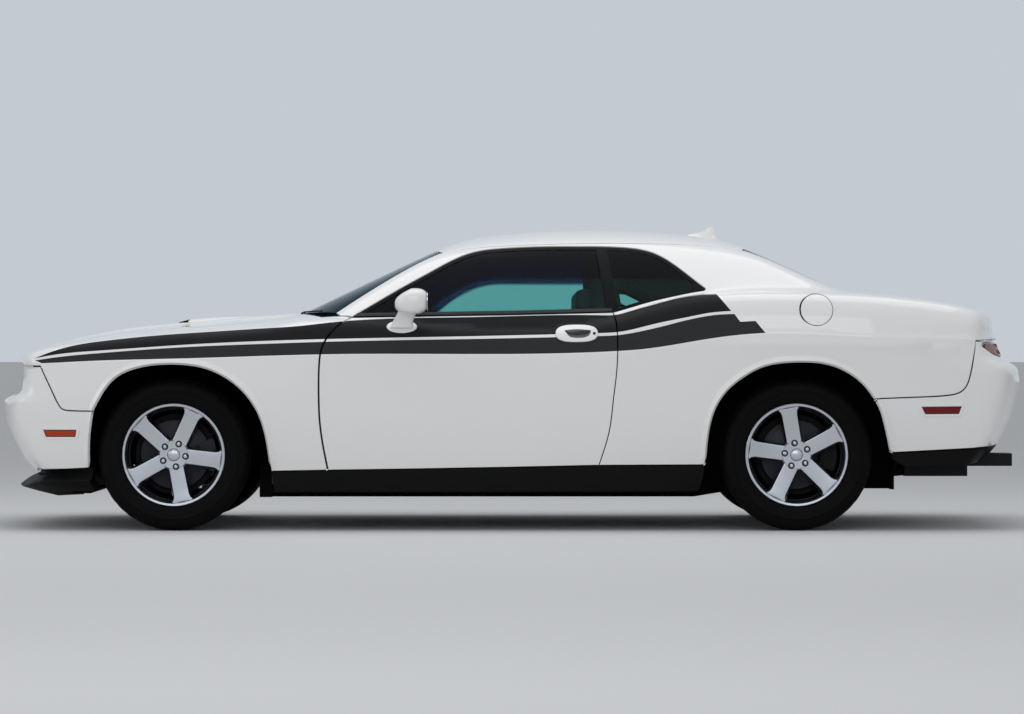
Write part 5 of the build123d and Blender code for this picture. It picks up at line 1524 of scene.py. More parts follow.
def build_tail_lamps():
    """The lamp housing across the tail, its red lenses and the clear middle."""
    half = ring_of(
        run_of("rear", [(-0.0001, 0.822), (-0.60, 0.824), (-0.72, 0.830), (-0.81, 0.845)], smooth=True),
        run_of("side", [(2.250, 0.8550), (2.1900, 0.8600), (2.1900, 0.9050), (2.250, 0.9050)]),
        run_of("rear", [(-0.80, 0.899), (-0.712, 0.9015), (-0.0001, 0.9035)]),
    )
    frame_panel = panel("tail_lamp_housing", car_gap, ROUND_REAR, mirrored(half), (), level=-0.014,
                        depth=0.006, spacing=0.03, roll=0.001, inset=-0.002)
    dress(frame_panel, "body", GLOSS_SHELL)
    for side in (-1, 1):
        lens = ring_of(
            run_of("rear", [(side * 0.085, 0.832), (side * 0.60, 0.834), (side * 0.74, 0.840)], smooth=True),
            run_of("rear", [(side * 0.80, 0.850), (side * 0.82, 0.872), (side * 0.79, 0.884)], smooth=True),
            run_of("rear", [(side * 0.70, 0.887), (side * 0.085, 0.889)]),
        )
        made = panel(f"tail_lens_{'left' if side < 0 else 'right'}", car_gap, ROUND_REAR, lens, (),
                     level=-0.006, depth=0.006, spacing=0.03, roll=0.002)
        dress(made, "body", ["polycarbonate_red"] * 2, ("tail_lamps",))
        ribs = []
        for k in range(9):
            y = side * (0.13 + 0.065 * k)
            p = found(car_gap, "rear", [(y, 0.836), (y, 0.861), (y, 0.885)], -0.0055)
            ribs.append(tube(f"rib{k}", [tuple(q) for q in p], 0.0016, 6))
        rib = joined(f"tail_lens_ribs_{'left' if side < 0 else 'right'}", *ribs)
        dress(rib, "body", ["polycarbonate_red"])
    outline = run_of("rear", [(-0.07, 0.834), (0.07, 0.834), (0.07, 0.888), (-0.07, 0.888)])
    centre = panel("reversing_lens", car_gap, ROUND_REAR, outline, level=-0.007, depth=0.005, spacing=0.02,
                   roll=0.002)
    dress(centre, "body", ["abs_grey_satin"] * 2)


def build_plate():
    """A blank plate panel in its recess, with four bolt heads."""
    x, z, thick = 2.450, 0.655, 0.0025
    bolt_y, bolt_z = 0.0889, 0.0603
    plate = prism("plate_blank", box_outline((-0.150, z - 0.068), (0.150, z + 0.068), 0.008),
                  x, x + thick, "x")
    dress(bevelled(plate, 0.0008), "body", ["abs_grey_satin"])
    wall = prism("plate_recess_panel", box_outline((-0.165, 0.578), (0.165, 0.732), 0.014),
                 x - 0.014, x - 0.002, "x")
    dress(bevelled(wall, 0.002), "body", [BLACK_PLASTIC])
    for k, (bolt_at_y, bolt_at_z) in enumerate([(sy * bolt_y, z + sz * bolt_z) for sy in (-1, 1)
                                                for sz in (-1, 1)]):
        head = front_lathe(f"plate_bolt_{k}", [(0.0, -0.004), (0.0045, -0.0034), (0.0062, -0.001),
                                               (0.0062, 0.0), (0.0, 0.0)],
                           (x + thick, bolt_at_y, bolt_at_z), 16)
        head.rotation_euler = (0, 0, math.pi)
        dress(head, "body", ["steel_chromed"])


# The handle's middle; its outlines are drawn about HANDLE_DRAWN_X
HANDLE_X, HANDLE_DRAWN_X = 0.310, 0.300


def build_handles():
    """Each door handle: painted plate, cup, black grip and a plain lock."""
    shift = HANDLE_X - HANDLE_DRAWN_X
    shield = [(HANDLE_X + 0.0965 * squarish(math.cos(t), 0.72), 0.931 + 0.0385 * squarish(math.sin(t), 0.80))
              for t in round_turns(59)]
    cup = rounded([(0.238, 0.945), (0.262, 0.912), (0.290, 0.905), (0.335, 0.906), (0.362, 0.917),
                   (0.372, 0.945), (0.300, 0.952), (0.238, 0.945)], [0.0, 0.012, 0.02, 0.02, 0.012, 0.006,
                                                                     0.02, 0.0], 0.006)[:-1]
    cup = [(x + shift, z) for x, z in cup]
    side_patch("handle_escutcheon", shield, 0.0075, 0.0085, PAINT_SHELL, "door_{}",
               spacing=0.012, roll=0.0035, holes=[cup])
    middle_x, middle_z = HANDLE_X + 0.005, 0.929
    wider = [(middle_x + (x - middle_x) * 1.06, middle_z + (z - middle_z) * 1.1) for x, z in cup]
    side_patch("handle_cup", wider, 0.0012, 0.002, ["abs_grey_satin"] * 2, "door_{}",
               spacing=0.015)
    grip = rounded([(0.246, 0.944), (0.268, 0.930), (0.300, 0.926), (0.340, 0.929), (0.364, 0.944),
                    (0.300, 0.949), (0.246, 0.944)],
                   [0.0, 0.01, 0.02, 0.01, 0.004, 0.02, 0], 0.006)[:-1]
    side_patch("handle_grip", [(x + shift, z) for x, z in grip], 0.0070, 0.004, GLOSS_SHELL,
               "door_{}", spacing=0.012, roll=0.002)
    side_patch("handle_key_lock", circle((HANDLE_X + 0.083, 0.929), 0.0062, 16), 0.0088, 0.003,
               GLOSS_SHELL, "door_{}", spacing=0.01, roll=0.001)


MIRROR_CENTRE = (-0.468, 0.992, 1.082)
# Columns: x, distance from the car's middle, z, half length, half width
MIRROR_STALK = (
    (-0.516, 0.916, 0.960, 0.056, 0.020), (-0.512, 0.924, 0.985, 0.049, 0.020),
    (-0.500, 0.940, 1.010, 0.045, 0.020), (-0.488, 0.958, 1.034, 0.045, 0.024),
    (-0.480, 0.970, 1.056, 0.052, 0.030),
)


def build_mirrors():
    """Painted mirror shells on short stalks, each with its glass."""
    cx, cy, cz = MIRROR_CENTRE
    for side, sign in SIDES:
        body = f"door_{side}"
        points = []
        rows, columns = 22, 36
        for i in range(rows + 1):
            v = math.pi * i / rows
            for j in range(columns):
                u = 2 * math.pi * j / columns
                sx, sy, sz = math.sin(v) * math.cos(u), math.sin(v) * math.sin(u), math.cos(v)
                sx, sy, sz = (squarish(c, 0.68) for c in (sx, sy, sz))
                front = max(-sx, 0)
                x = cx + sx * 0.079
                y = cy + sy * 0.083 * (1 - 0.22 * front)
                z = cz + sz * 0.0615 * (1 - 0.36 * front) - 0.010 * front + 0.004 * sx
                points.append((min(x, -0.393), sign * y, z))
        shell = solid(f"mirror_shell_{side}", points, ring_faces(rows + 1, columns), sharp=50)
        dress(shell, body, [PAINT], (f"mirror_{side}",))
        points, count = [], 24
        for x, y, z, half_x, half_y in MIRROR_STALK:
            points += [(x + half_x * math.cos(t), sign * (y + half_y * math.sin(t)), z)
                       for t in round_turns(count)]
        faces = ring_faces(len(MIRROR_STALK), count) + end_faces(len(points), count)
        stalk = solid(f"mirror_stalk_{side}", points, faces, sharp=60)
        dress(stalk, body, [PAINT])
        ring = [(squarish(math.cos(t), 0.6), squarish(math.sin(t), 0.6)) for t in round_turns(40)]
        pane = [(sign * (cy + 0.066 * c), cz - 0.002 + 0.046 * s) for c, s in ring]
        glass = prism(f"mirror_glass_{side}", pane, -0.394, -0.3915, "x")
        dress(glass, body, ["mirror_silvered"])
    oval = [(-0.516 + 0.068 * math.cos(t), 0.964 + 0.027 * math.sin(t)) for t in round_turns(44)]
    side_patch("mirror_base", oval, 0.005, 0.010, PAINT_SHELL, "door_{}", spacing=0.014,
               roll=0.004)


def build_belt_trim():
    """The seal strip at the foot of the door glass."""
    strip = [(-0.738, 1.014), (-0.40, 1.0195), (0.0, 1.0255), (0.478, 1.0375), (0.474, 1.050), (0.0, 1.038),
             (-0.40, 1.0315), (-0.728, 1.0265)]
    made = panel("belt_seal", cabin_gap, ROUND, run_of("side", strip, cabin_gap), (), spacing=0.03,
                 depth=0.008, level=0.0035, sides=LEFT_RIGHT, roll=0.002)
    for thing, side in zip(made, LEFT_RIGHT):
        dress(thing, f"door_{side}", ["rubber_seal_black"] * 2)


def build_fin():
    """The aerial fin on the roof."""
    # Columns: x, how far the ridge rises, half the foot's width
    stations = [(0.868, 0.0, 0.004), (0.895, 0.011, 0.013), (0.925, 0.020, 0.016), (0.955, 0.0335, 0.0145),
                (0.982, 0.055, 0.011), (0.999, 0.0630, 0.005), (1.006, 0.0340, 0.009), (1.020, 0.0060, 0.007),
                (1.026, 0.0, 0.003)]
    points = []
    for x, rise, half in stations:
        base = float(found(car_gap, "top", [(x, 0.0)])[0][2]) - 0.004
        top = base + 0.004 + rise
        points += [(x, -half, base), (x, -half * 0.55, base + rise * 0.45), (x, -half * 0.16, top),
                   (x, half * 0.16, top), (x, half * 0.55, base + rise * 0.45), (x, half, base)]
    corners = 6
    faces = ring_faces(len(stations), corners) + end_faces(len(points), corners)
    dress(solid("aerial_fin", points, faces, sharp=60), "body", [PAINT], ("roof",))


def build_hood_scoops():
    """Two shallow scoops on the raised middle of the hood, open at the front."""
    mouth_y, width, tall = 0.255, 0.16, 0.012
    for side, sign in SIDES:
        xs = np.concatenate([[-1.575, -1.568], np.linspace(-1.55, -1.14, 22)])
        ys = np.linspace(mouth_y - width / 2, mouth_y + width / 2, 15)
        grid = found(car_gap, "top", [(x, sign * y) for x in xs for y in ys])
        n = normals(car_gap, grid).reshape(len(xs), len(ys), 3)
        grid = grid.reshape(len(xs), len(ys), 3)
        points = []
        for i, x in enumerate(xs):
            rise = tall * (1 - smooth_step(x, -1.52, -1.15))
            for j, y in enumerate(ys):
                t = 2 * (y - mouth_y) / width
                edge = 1 - smooth_step(abs(t), 0.62, 1.0)
                sunk = 0.0 if 0 < i < len(xs) - 1 and abs(t) < 1 else -0.003
                points.append(grid[i, j] + n[i, j] * (rise * edge + sunk))
        rows, columns = len(xs), len(ys)
        under = [p - np.array((0, 0, 0.006)) for p in grid.reshape(-1, 3)]
        faces = grid_faces(rows, columns)
        faces += [tuple(rows * columns + k for k in f[::-1]) for f in faces]
        faces += rim_faces(rows, columns)
        dress(solid(f"hood_scoop_{side}", points + under, faces, sharp=50), "hood", [PAINT])
        ramp = found(car_gap, "top", [(-1.620, sign * mouth_y), (-1.568, sign * mouth_y)])[:, 2]
        mouth = [(-1.620, ramp[0] + 0.0015), (-1.568, ramp[1] + 0.0105), (-1.568, ramp[1] - 0.004),
                 (-1.620, ramp[0] - 0.004)]
        dress(prism(f"hood_scoop_mouth_{side}", mouth, sign * mouth_y - 0.060, sign * mouth_y + 0.060),
              "hood", [BLACK_PLASTIC])


def build_cowl():
    """The black cowl panel between hood and windshield, with two wipers."""
    half = ring_of(
        run_of("top", [(-0.905, -0.762), (-0.975, -0.560), (-1.050, -0.200), (-1.060, -0.0001)], smooth=True),
        run_of("top", [(-0.995, -0.0001), (-0.955, -0.30), (-0.870, -0.600), (-0.810, -0.755)], smooth=True),
    )
    made = panel("cowl_panel", body_gap, CABIN_MAP, mirrored(half), spacing=0.03, level=-0.012, depth=0.006,
                 roll=0.001)
    dress(made, "body", BLACK_SHELL)
    for k, foot in enumerate(([(-1.030, 0.12), (-1.008, -0.25), (-0.960, -0.45), (-0.908, -0.60)],
                              [(-0.892, 0.64), (-0.955, 0.45), (-1.012, 0.20), (-1.026, 0.02)])):
        flat = curved(foot, 0.03)
        blade = found(cabin_gap, "top", flat, 0.0025)
        arm = found(cabin_gap, "top", [(x - 0.010, y) for x, y in flat[: len(flat) // 2]], 0.0025)
        parts = [tube("blade", [tuple(p) for p in blade], 0.0035, 8),
                 tube("arm", [tuple(p) for p in arm], 0.0040, 8)]
        dress(joined(f"wiper_{'driver' if k == 0 else 'passenger'}", *parts), "body", [BLACK_PLASTIC])


# ---- wheels --------------------------------------------------------------------------------------

# Columns: radius, distance outward from the wheel's middle
RIM = [(0.243, 0.1015), (0.240, 0.1035), (0.231, 0.1025), (0.226, 0.094), (0.222, 0.080), (0.219, 0.050),
       (0.2165, 0.0), (0.216, -0.090), (0.2425, -0.1025), (0.243, -0.094), (0.229, -0.0945), (0.229, -0.060),
       (0.2265, 0.0), (0.229, 0.045), (0.232, 0.080), (0.2345, 0.094)]
TYRE_SIDE = [(0.229, 0.094), (0.2435, 0.0955), (0.250, 0.104), (0.256, 0.1075), (0.262, 0.111),
             (0.2665, 0.1135), (0.285, 0.1165), (0.300, 0.1175), (0.3025, 0.1195), (0.305, 0.1172),
             (0.318, 0.1155), (0.332, 0.110), (0.342, 0.1025), (0.350, 0.0925), (0.3545, 0.080),
             (0.3565, 0.070)]
TREAD_RADIUS, GROOVES, GROOVE_HALF, GROOVE_DEEP = 0.358, (0.055, 0.018, -0.018, -0.055), 0.0045, 0.008
SIPE_DEEP, SIPE_EVERY = 0.0055, 5
# The spokes' angles in degrees, then columns: radius, half width, height of the spoke's face
SPOKE_TURNS = {"front": (-7, 65, 137, 209, 281), "rear": (28, 100, 172, 244, 316)}
SPOKE_STATIONS = [(0.030, 0.0380, 0.0840), (0.070, 0.0385, 0.0845), (0.110, 0.0390, 0.0862),
                  (0.160, 0.0397, 0.0888), (0.195, 0.0405, 0.0910), (0.211, 0.0455, 0.0925),
                  (0.2235, 0.0570, 0.0930)]


# DARK is dark in the bolt pockets and painted shade deep inside the wheel
TURNED, DARK = "aluminium_turned_lacquered", "aluminium_dark_pocket_and_painted_shade"
# Columns: (radius, distance outward) pairs, segments, sharp angle, finish
WHEEL_RINGS = {
    "rim": (RIM, 128, 40, TURNED),
    "hub": ([(0.0285, 0.0815), (0.030, 0.0865), (0.066, 0.0875), (0.072, 0.080), (0.074, 0.045),
             (0.0285, 0.045)],
            72, 30, TURNED),
    "hub_cap": ([(0.0002, 0.0905), (0.014, 0.0900), (0.0235, 0.0880), (0.0278, 0.0840), (0.0278, 0.070),
                 (0.0002, 0.070)],
                48, 40, TURNED),
    # The barrel's dark face over the rim's inner face is painted shade deep in the wheel; so is the hub's
    # back
    "barrel": ([(0.2170, 0.012), (0.2162, 0.0), (0.2158, -0.088), (0.2125, -0.088), (0.2128, 0.0),
                (0.2150, 0.012)],
               96, 40, DARK),
    "brake_disc": ([(0.055, -0.008), (0.090, -0.008), (0.095, -0.012), (0.163, -0.012), (0.165, -0.014),
                    (0.165, -0.034), (0.095, -0.034), (0.055, -0.030)], 96, 40, "iron_cast_ground"),
    "brake_shield": ([(0.052, -0.044), (0.192, -0.044), (0.192, -0.047), (0.052, -0.047)], 72, 40,
                     "steel_primed_black"),
    "hub_back": ([(0.0, 0.046), (0.074, 0.046), (0.078, 0.030), (0.078, -0.008), (0.050, -0.012),
                  (0.0, -0.012)],
                 60, 40, DARK),
}
# How far the five bolts stand from the axle
BOLT_CIRCLE = 0.0565


def build_tyre(end, side, sign):
    """The tyre with its grooves, and sipes across its shoulders."""
    tread = []
    for g in GROOVES:
        tread += [(TREAD_RADIUS, g + GROOVE_HALF), (TREAD_RADIUS - GROOVE_DEEP, g + GROOVE_HALF * 0.7),
                  (TREAD_RADIUS - GROOVE_DEEP, g - GROOVE_HALF * 0.7), (TREAD_RADIUS, g - GROOVE_HALF)]
    profile = TYRE_SIDE + tread + [(r, -o) for r, o in TYRE_SIDE[::-1]]
    shoulder = [k for k, (r, o) in enumerate(profile) if r > 0.349 and abs(o) > 0.058]

    def sipe(i, k, radius):
        return radius - (SIPE_DEEP if k in shoulder and i % SIPE_EVERY == 0 else 0)

    at = (AXLE_X[end], sign * WHEEL_Y, WHEEL_Z)
    tyre = lathe(f"tyre_{end}_{side}_dressed", profile, at, sign, 180, 38, wave=sipe)
    dress(tyre, f"wheel_{end}_{side}", ["rubber_vulcanised_tyre"], (f"tyre_{end}_{side}",))


def build_spokes(turns, sign):
    """Points and faces of the five spokes, each with bevelled flanks."""
    points, faces = [], []
    for turn in turns:
        t = math.radians(turn)
        out_dir, across = (math.cos(t), math.sin(t)), (-math.sin(t), math.cos(t))
        start = len(points)
        for r, w, o in SPOKE_STATIONS:
            flank = [(w + 0.006, o - 0.042), (w, o - 0.010), (w - 0.0055, o), (0.5 * w, o + 0.0004)]
            for a, out in [(-a, out) for a, out in flank] + flank[::-1]:
                points.append((out_dir[0] * r + across[0] * a, sign * out, out_dir[1] * r + across[1] * a))
        n, m = 8, len(SPOKE_STATIONS)
        faces += ring_faces(m, n, start)
        faces += [tuple(start + k for k in range(n)),
                  tuple(start + (m - 1) * n + k for k in range(n - 1, -1, -1))]
    return points, faces


def build_wheel(end, side, sign):
    """One wheel: rim, spokes, hub, cap, brake disc and shield, bolts and valve."""
    at = (AXLE_X[end], sign * WHEEL_Y, WHEEL_Z)
    body = f"wheel_{end}_{side}"
    turns = SPOKE_TURNS[end]
    for piece, (profile, segments, sharp, finish) in WHEEL_RINGS.items():
        ring = lathe(f"{piece}_{end}_{side}", profile, at, sign, segments, sharp)
        if piece == "brake_shield":
            dress(ring, f"steering_{side}" if end == "front" else "body", [finish])
        else:
            dress(ring, body, [finish], (body,) if piece == "rim" else ())
    points, faces = build_spokes(turns, sign)
    spokes = bevelled(solid(f"spokes_{end}_{side}", points, faces, at, 25), 0.0022, 2, 25)
    dress(spokes, body, [TURNED])
    pockets, nuts = [], []
    for turn in turns:
        t = math.radians(turn)
        cx, cz = BOLT_CIRCLE * math.cos(t), BOLT_CIRCLE * math.sin(t)
        for store, profile, sides, rim_turn in (
            (pockets, [(0.0, 0.0884), (0.0148, 0.0884), (0.0162, 0.0872), (0.0162, 0.080), (0.0, 0.080)], 24,
             0),
            (nuts, [(0.0, 0.0975), (0.0065, 0.0965), (0.0098, 0.0930), (0.0105, 0.0880), (0.0, 0.0880)], 6,
             turn),
        ):
            p = lathe("part", profile, (0, 0, 0), sign, sides, 30)
            p.data.transform(Matrix.Translation((cx, 0, cz)) @ Matrix.Rotation(math.radians(rim_turn), 4,
                    "Y"))
            p.location = at
            store.append(p)
    for label, store, finish in (("lug_pockets", pockets, DARK), ("lug_nuts", nuts, "steel_chromed")):
        thing = joined(f"{label}_{end}_{side}", *store)
        dress(thing, body, [finish])
    t = math.radians(turns[0] + 36)
    valve = tube(f"valve_{end}_{side}", [(0.213 * math.cos(t), sign * 0.070, 0.213 * math.sin(t)),
                                        (0.200 * math.cos(t), sign * 0.092, 0.200 * math.sin(t))], 0.0045, 10)
    valve.location = at
    dress(valve, body, [BLACK_PLASTIC])


# ---- cabin ---------------------------------------------------------------------------------------

# How deep a cushion's quilted channels and its long seams are sewn in
CHANNEL_DEEP, SEAM_DEEP = 0.010, 0.009


def cushion(name, low, high, puff, panels=5, along_axis="x", resolution=(34, 30), lean=0.0, waist=0.0,
            side_bolster=0.0):
    """A stuffed leather cushion between two corners: rounded, crowned and quilted in channels.

    lean slides the top back, waist narrows the middle and side_bolster raises the outer edges."""
    low, high = np.array(low, float), np.array(high, float)
    size, mid = high - low, (low + high) / 2
    nu, nv = resolution
    points = []
    us = np.linspace(-1, 1, nu)
    vs = np.linspace(-1, 1, nv)
    tall = along_axis == "z"
    for face in (1, -1):
        for u in us:
            for v in vs:
                su, sv = np.sign(u) * abs(u) ** 0.92, v
                edge = (max(1 - abs(u) ** 8, 0) * max(1 - abs(v) ** 8, 0)) ** 0.5
                channel = 0.5 + 0.5 * math.cos(math.pi * panels * (sv + 1))
                inside = (abs(u) < 0.72) * (abs(v) < 0.90)
                groove = CHANNEL_DEEP * channel**6 * inside if face > 0 else 0
                seam = SEAM_DEEP * math.exp(-(((abs(u) - 0.74) / 0.035) ** 2)) * (abs(v) < 0.93)
                bolster = side_bolster * smooth_step(abs(u), 0.66, 0.88) * (1 - smooth_step(abs(u), 0.93,
                        1.0))
                if face < 0:
                    seam = bolster = 0
                thick = face * (0.5 * edge + puff * edge * (1 - 0.55 * u * u) * (1 - 0.45 * v * v) / 2)
                narrow = 1 - waist * math.cos(math.pi * v / 2) ** 2
                points.append((su * narrow, v, thick, (bolster - groove - seam) * edge))
    out = []
    for u, v, thick, extra in points:
        if tall:
            x = mid[0] - thick * size[0] - extra
            z = mid[2] + v * size[2] / 2
            y = mid[1] + u * size[1] / 2
            out.append((x + lean * (v + 1) / 2, y, z))
        else:
            x = mid[0] + v * size[0] / 2
            z = mid[2] + thick * size[2] + extra
            y = mid[1] + u * size[1] / 2
            out.append((x, y, z + lean * (1 - v) / 2))
    faces = grid_faces(nu, nv)
    faces += [tuple(nu * nv + k for k in f) for f in faces]
    return solid(name, out, faces + rim_faces(nu, nv), sharp=60)


def build_seats():
    """Front seats with head rests, and the rear bench, in black leather."""
    seat_y = 0.40
    for side, sign in SIDES:
        y = seat_y * sign
        node = f"seat_{side}"
        base = cushion(f"seat_base_{side}", (-0.42, y - 0.245, 0.355), (0.13, y + 0.245, 0.480), 0.18, 4,
                       lean=0.045, side_bolster=0.030)
        back = cushion(f"seat_back_{side}", (0.075, y - 0.235, 0.44), (0.185, y + 0.235, 1.005), 0.20, 5, "z",
                       lean=0.155, waist=0.05, side_bolster=0.034)
        rest = cushion(f"seat_headrest_{side}", (0.315, y - 0.130, 1.020), (0.398, y + 0.130, 1.150), 0.25, 1,
                       "z", (22, 18))
        for k, thing in enumerate((base, back, rest)):
            dress(thing, "body", ["leather_black_embossed"], (node,) if k == 0 else ())
        posts = [tube("post", [(0.295, y + d, 0.96), (0.345, y + d, 1.045)], 0.006, 10)
                 for d in (-0.06, 0.06)]
        dress(joined(f"headrest_posts_{side}", *posts), "body", ["steel_chromed"])
        plinth = prism(f"seat_plinth_{side}", box_outline((-0.36, 0.26), (0.09, 0.372), 0.02), y - 0.19,
                       y + 0.19, "y")
        dress(bevelled(plinth, 0.006), "body", ["vinyl_skin_grey"])
    base = cushion("rear_bench_base", (0.735, -0.61, 0.335), (1.075, 0.61, 0.490), 0.2, 3,
                   resolution=(60, 30), lean=0.03)
    back = cushion("rear_bench_back", (0.985, -0.61, 0.45), (1.105, 0.61, 0.985), 0.18, 4, "z", (60, 30),
                   lean=0.10)
    for k, thing in enumerate((base, back)):
        dress(thing, "body", ["leather_black_embossed"], ("rear_seat",) if k == 0 else ())


def build_cabin_trim():
    """The headliner, and the trim round the quarter windows."""
    roof = mirrored(run_of("top", [(-0.280, -0.0001), (-0.250, -0.500), (0.300, -0.520), (1.020, -0.470),
                                   (1.050, -0.0001)]))
    liner = panel("headliner", car_gap, CABIN_MAP, roof, spacing=0.06, depth=0.004, level=-0.034, roll=0.001)
    dress(liner, "body", ["headliner_knit_grey"] * 2)
    trim = [(0.368, 1.335), (0.372, 1.050), (0.540, 1.060), (0.800, 1.110), (1.000, 1.150), (0.960, 1.200),
            (0.800, 1.320)]
    opening = [(0.512, 1.186), (0.585, 1.182), (0.672, 1.139), (0.545, 1.098), (0.522, 1.112)]
    sheets = panel("quarter_trim", cabin_gap, CABIN_MAP, on_glass(trim), (), [on_glass(opening)],
                   spacing=0.05, depth=0.003, level=-0.050, sides=LEFT_RIGHT, roll=0.001)
    for sheet in sheets:
        dress(sheet, "body", BLACK_SHELL)


def build_steering_wheel():
    """Leather rim, three spokes and a plain boss, on its own axis."""
    centre, ring, tilt = Vector((-0.501, -0.400, 0.916)), 0.178, math.radians(22)
    turned = Matrix.Translation(centre) @ Matrix.Rotation(tilt, 4, "Y")
    count, sides = 72, 14
    points = []
    for i in range(count):
        a = 2 * math.pi * i / count
        for k in range(sides):
            b = 2 * math.pi * k / sides
            r = ring + 0.0155 * math.cos(b)
            points.append(turned @ Vector((0.0145 * math.sin(b), r * math.cos(a), r * math.sin(a))))
    rim = solid("steering_rim", points, ring_faces(count, sides, closed=True), sharp=60)
    dress(rim, "steering_wheel", ["leather_black_embossed"], ("steering_wheel",))
    parts = []
    for turn in (0, 180, 270):
        a = math.radians(turn)
        run = [turned @ Vector((-0.018 + 0.016 * t, (0.045 + 0.130 * t) * math.cos(a),
                                (0.045 + 0.130 * t) * math.sin(a))) for t in (0, 0.25, 0.5, 0.75, 1)]
        parts.append(tube("spoke", run, [0.020, 0.016, 0.013, 0.012, 0.012], 12))
    dress(joined("steering_spokes", *parts), "steering_wheel", ["abs_grey_satin"])
    # Columns: share of the boss's height, radius
    stations, around = ((0, 0.058), (0.35, 0.066), (0.75, 0.062), (0.95, 0.045), (1.0, 0.0001)), 32
    boss = [turned @ Vector((-0.045 + 0.052 * h, r * math.cos(t), r * math.sin(t)))
            for h, r in stations for t in round_turns(around)]
    faces = ring_faces(len(stations), around) + [tuple(range(around))]
    dress(solid("steering_boss", boss, faces, sharp=50), "steering_wheel", ["vinyl_skin_grey"])


# ---- plain materials on the frame's own nodes ----------------------------------------------------

# The floor pan, the front structure and every node not listed take the satin black steel that is darkened as
# painted shade
NODE_FINISHES = {
    "front_subframe": "steel_primed_black",
    "rear_subframe": "steel_primed_black",
    "floor_pan": "steel_satin_black_and_painted_shade",
    "front_structure": "steel_satin_black_and_painted_shade",
    "engine": "aluminium_sand_cast",
    "exhaust": "steel_aluminised",
    "knuckle": "iron_cast_ground",
    "dashboard": "vinyl_skin_grey",
    "seat": "leather_black_embossed",
    "mirror": "enamel_white_lacquered",
}


def dress_kept_nodes():
    """Every frame node that stays in view gets the finish of what it is."""
    for name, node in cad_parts.items():
        finish = next((f for key, f in NODE_FINISHES.items() if key in name), "steel_satin_black_and_painted_shade")
        for slot in node.material_slots:
            slot.material = MATERIALS[finish]


# ---- the studio ----------------------------------------------------------------------------------

# Half the floor's side, and the camera's place, lens and sensor
FLOOR_HALF = 600
CAMERA_AT, LENS_MM, SENSOR_MM = (0.0045, -18.9, 0.821), 133.9, 36.0


def build_stage(car):
    """A pale seamless floor, three soft lights, even air and a level camera."""
    floor_mesh = bpy.data.meshes.new("studio_floor")
    corners = [(x * FLOOR_HALF, y * FLOOR_HALF, 0) for x, y in ((-1, -1), (1, -1), (1, 1), (-1, 1))]
    floor_mesh.from_pydata(corners, [], [(0, 1, 2, 3)])
    floor = bpy.data.objects.new("studio_floor", floor_mesh)
    bpy.context.collection.objects.link(floor)
    # Seamless paper, matt
    floor_mesh.materials.append(material("paper_seamless_matt", "#D6D8DB", 0.85, (30.0, 0.05, EVEN), 0.01,
                                         0.03))
    for name, place, turn, size, power in (
        ("soft_overhead", (0, -0.5, 6.0), (0, 0, 0), (8.0, 5.0), car.overhead_power),
        ("soft_side", (-1.0, -11.0, 4.2), (math.radians(66), 0, math.radians(-4)), (9.0, 4.0),
         car.side_power),
        ("soft_front", (-9.0, -4.0, 3.6), (math.radians(70), 0, math.radians(-66)), (4.0, 3.0),
         car.side_power * 0.35),
    ):
        light = bpy.data.lights.new(name, "AREA")
        light.shape, light.size, light.size_y, light.energy = "RECTANGLE", size[0], size[1], power
        lamp = bpy.data.objects.new(name, light)
        lamp.location, lamp.rotation_euler = place, turn
        bpy.context.collection.objects.link(lamp)
    world = bpy.data.worlds.new("studio_air")
    bpy.context.scene.world = world
    world.use_nodes = True
    tree = world.node_tree
    tree.nodes.clear()
    ray = add_node(tree, "ShaderNodeLightPath")
    seen = add_node(tree, "ShaderNodeMath",
                    {0: ray.outputs["Is Camera Ray"], 1: ray.outputs["Is Transmission Ray"]},
                    operation="MAXIMUM")
    shine = add_node(tree, "ShaderNodeMath", {0: seen.outputs[0], 1: ray.outputs["Is Glossy Ray"]},
                     operation="MAXIMUM")
    strength = add_node(tree, "ShaderNodeMapRange", {"Value": shine.outputs[0], "To Min": car.air_strength,
                                                     "To Max": 1.0})
    tone = mixed_colours(tree, shine.outputs[0], colour("#FFFFFF"), colour(car.air_colour))
    air = add_node(tree, "ShaderNodeBackground", {"Color": tone, "Strength": strength.outputs[0]})
    add_node(tree, "ShaderNodeOutputWorld", {"Surface": air.outputs[0]})
    bpy.context.scene.view_settings.view_transform = "Standard"
    lens = bpy.data.cameras.new("level_camera")
    lens.lens, lens.sensor_width = LENS_MM, SENSOR_MM
    camera = bpy.data.objects.new("level_camera", lens)
    camera.location, camera.rotation_euler = CAMERA_AT, (math.pi / 2, 0, 0)
    bpy.context.collection.objects.link(camera)
    bpy.context.scene.camera = camera


# ---- the add-on ----------------------------------------------------------------------------------

class CarProperties(bpy.types.PropertyGroup):
    body_colour: StringProperty(name="Body colour", description="Enamel colour as an sRGB hex value",
                                default="#F1F2F2")
    stripe_upper: StringProperty(name="Upper stripe",
                                 description="Upper stripe's colour as an sRGB hex value", default="#0F0F10")
    stripe_lower: StringProperty(name="Lower stripe",
                                 description="Lower stripe's colour as an sRGB hex value", default="#29292A")
    glass_tint: StringProperty(name="Glass tint", description="Colour of the glass as an sRGB hex value",
                               default="#A2DAD6")
    overhead_power: FloatProperty(name="Overhead light", description="Power of the overhead soft light",
                                  default=150.0, min=0.0, unit="POWER")
    side_power: FloatProperty(name="Side light", description="Power of the soft light beside the car",
                              default=150.0, min=0.0, unit="POWER")
    air_colour: StringProperty(name="Backdrop colour", description="Pale backdrop as an sRGB hex value",
                               default="#C3CAD2")
    air_strength: FloatProperty(name="Air light", description="Strength of the even light from all round",
                                default=0.46, min=0.0)


class CAR_OT_finishes(bpy.types.Operator):
    """Makes every material"""

    bl_idname = "car.finishes"
    bl_label = "Make the finishes"

    def execute(self, context):
        make_finishes(context.scene.car)
        return {"FINISHED"}


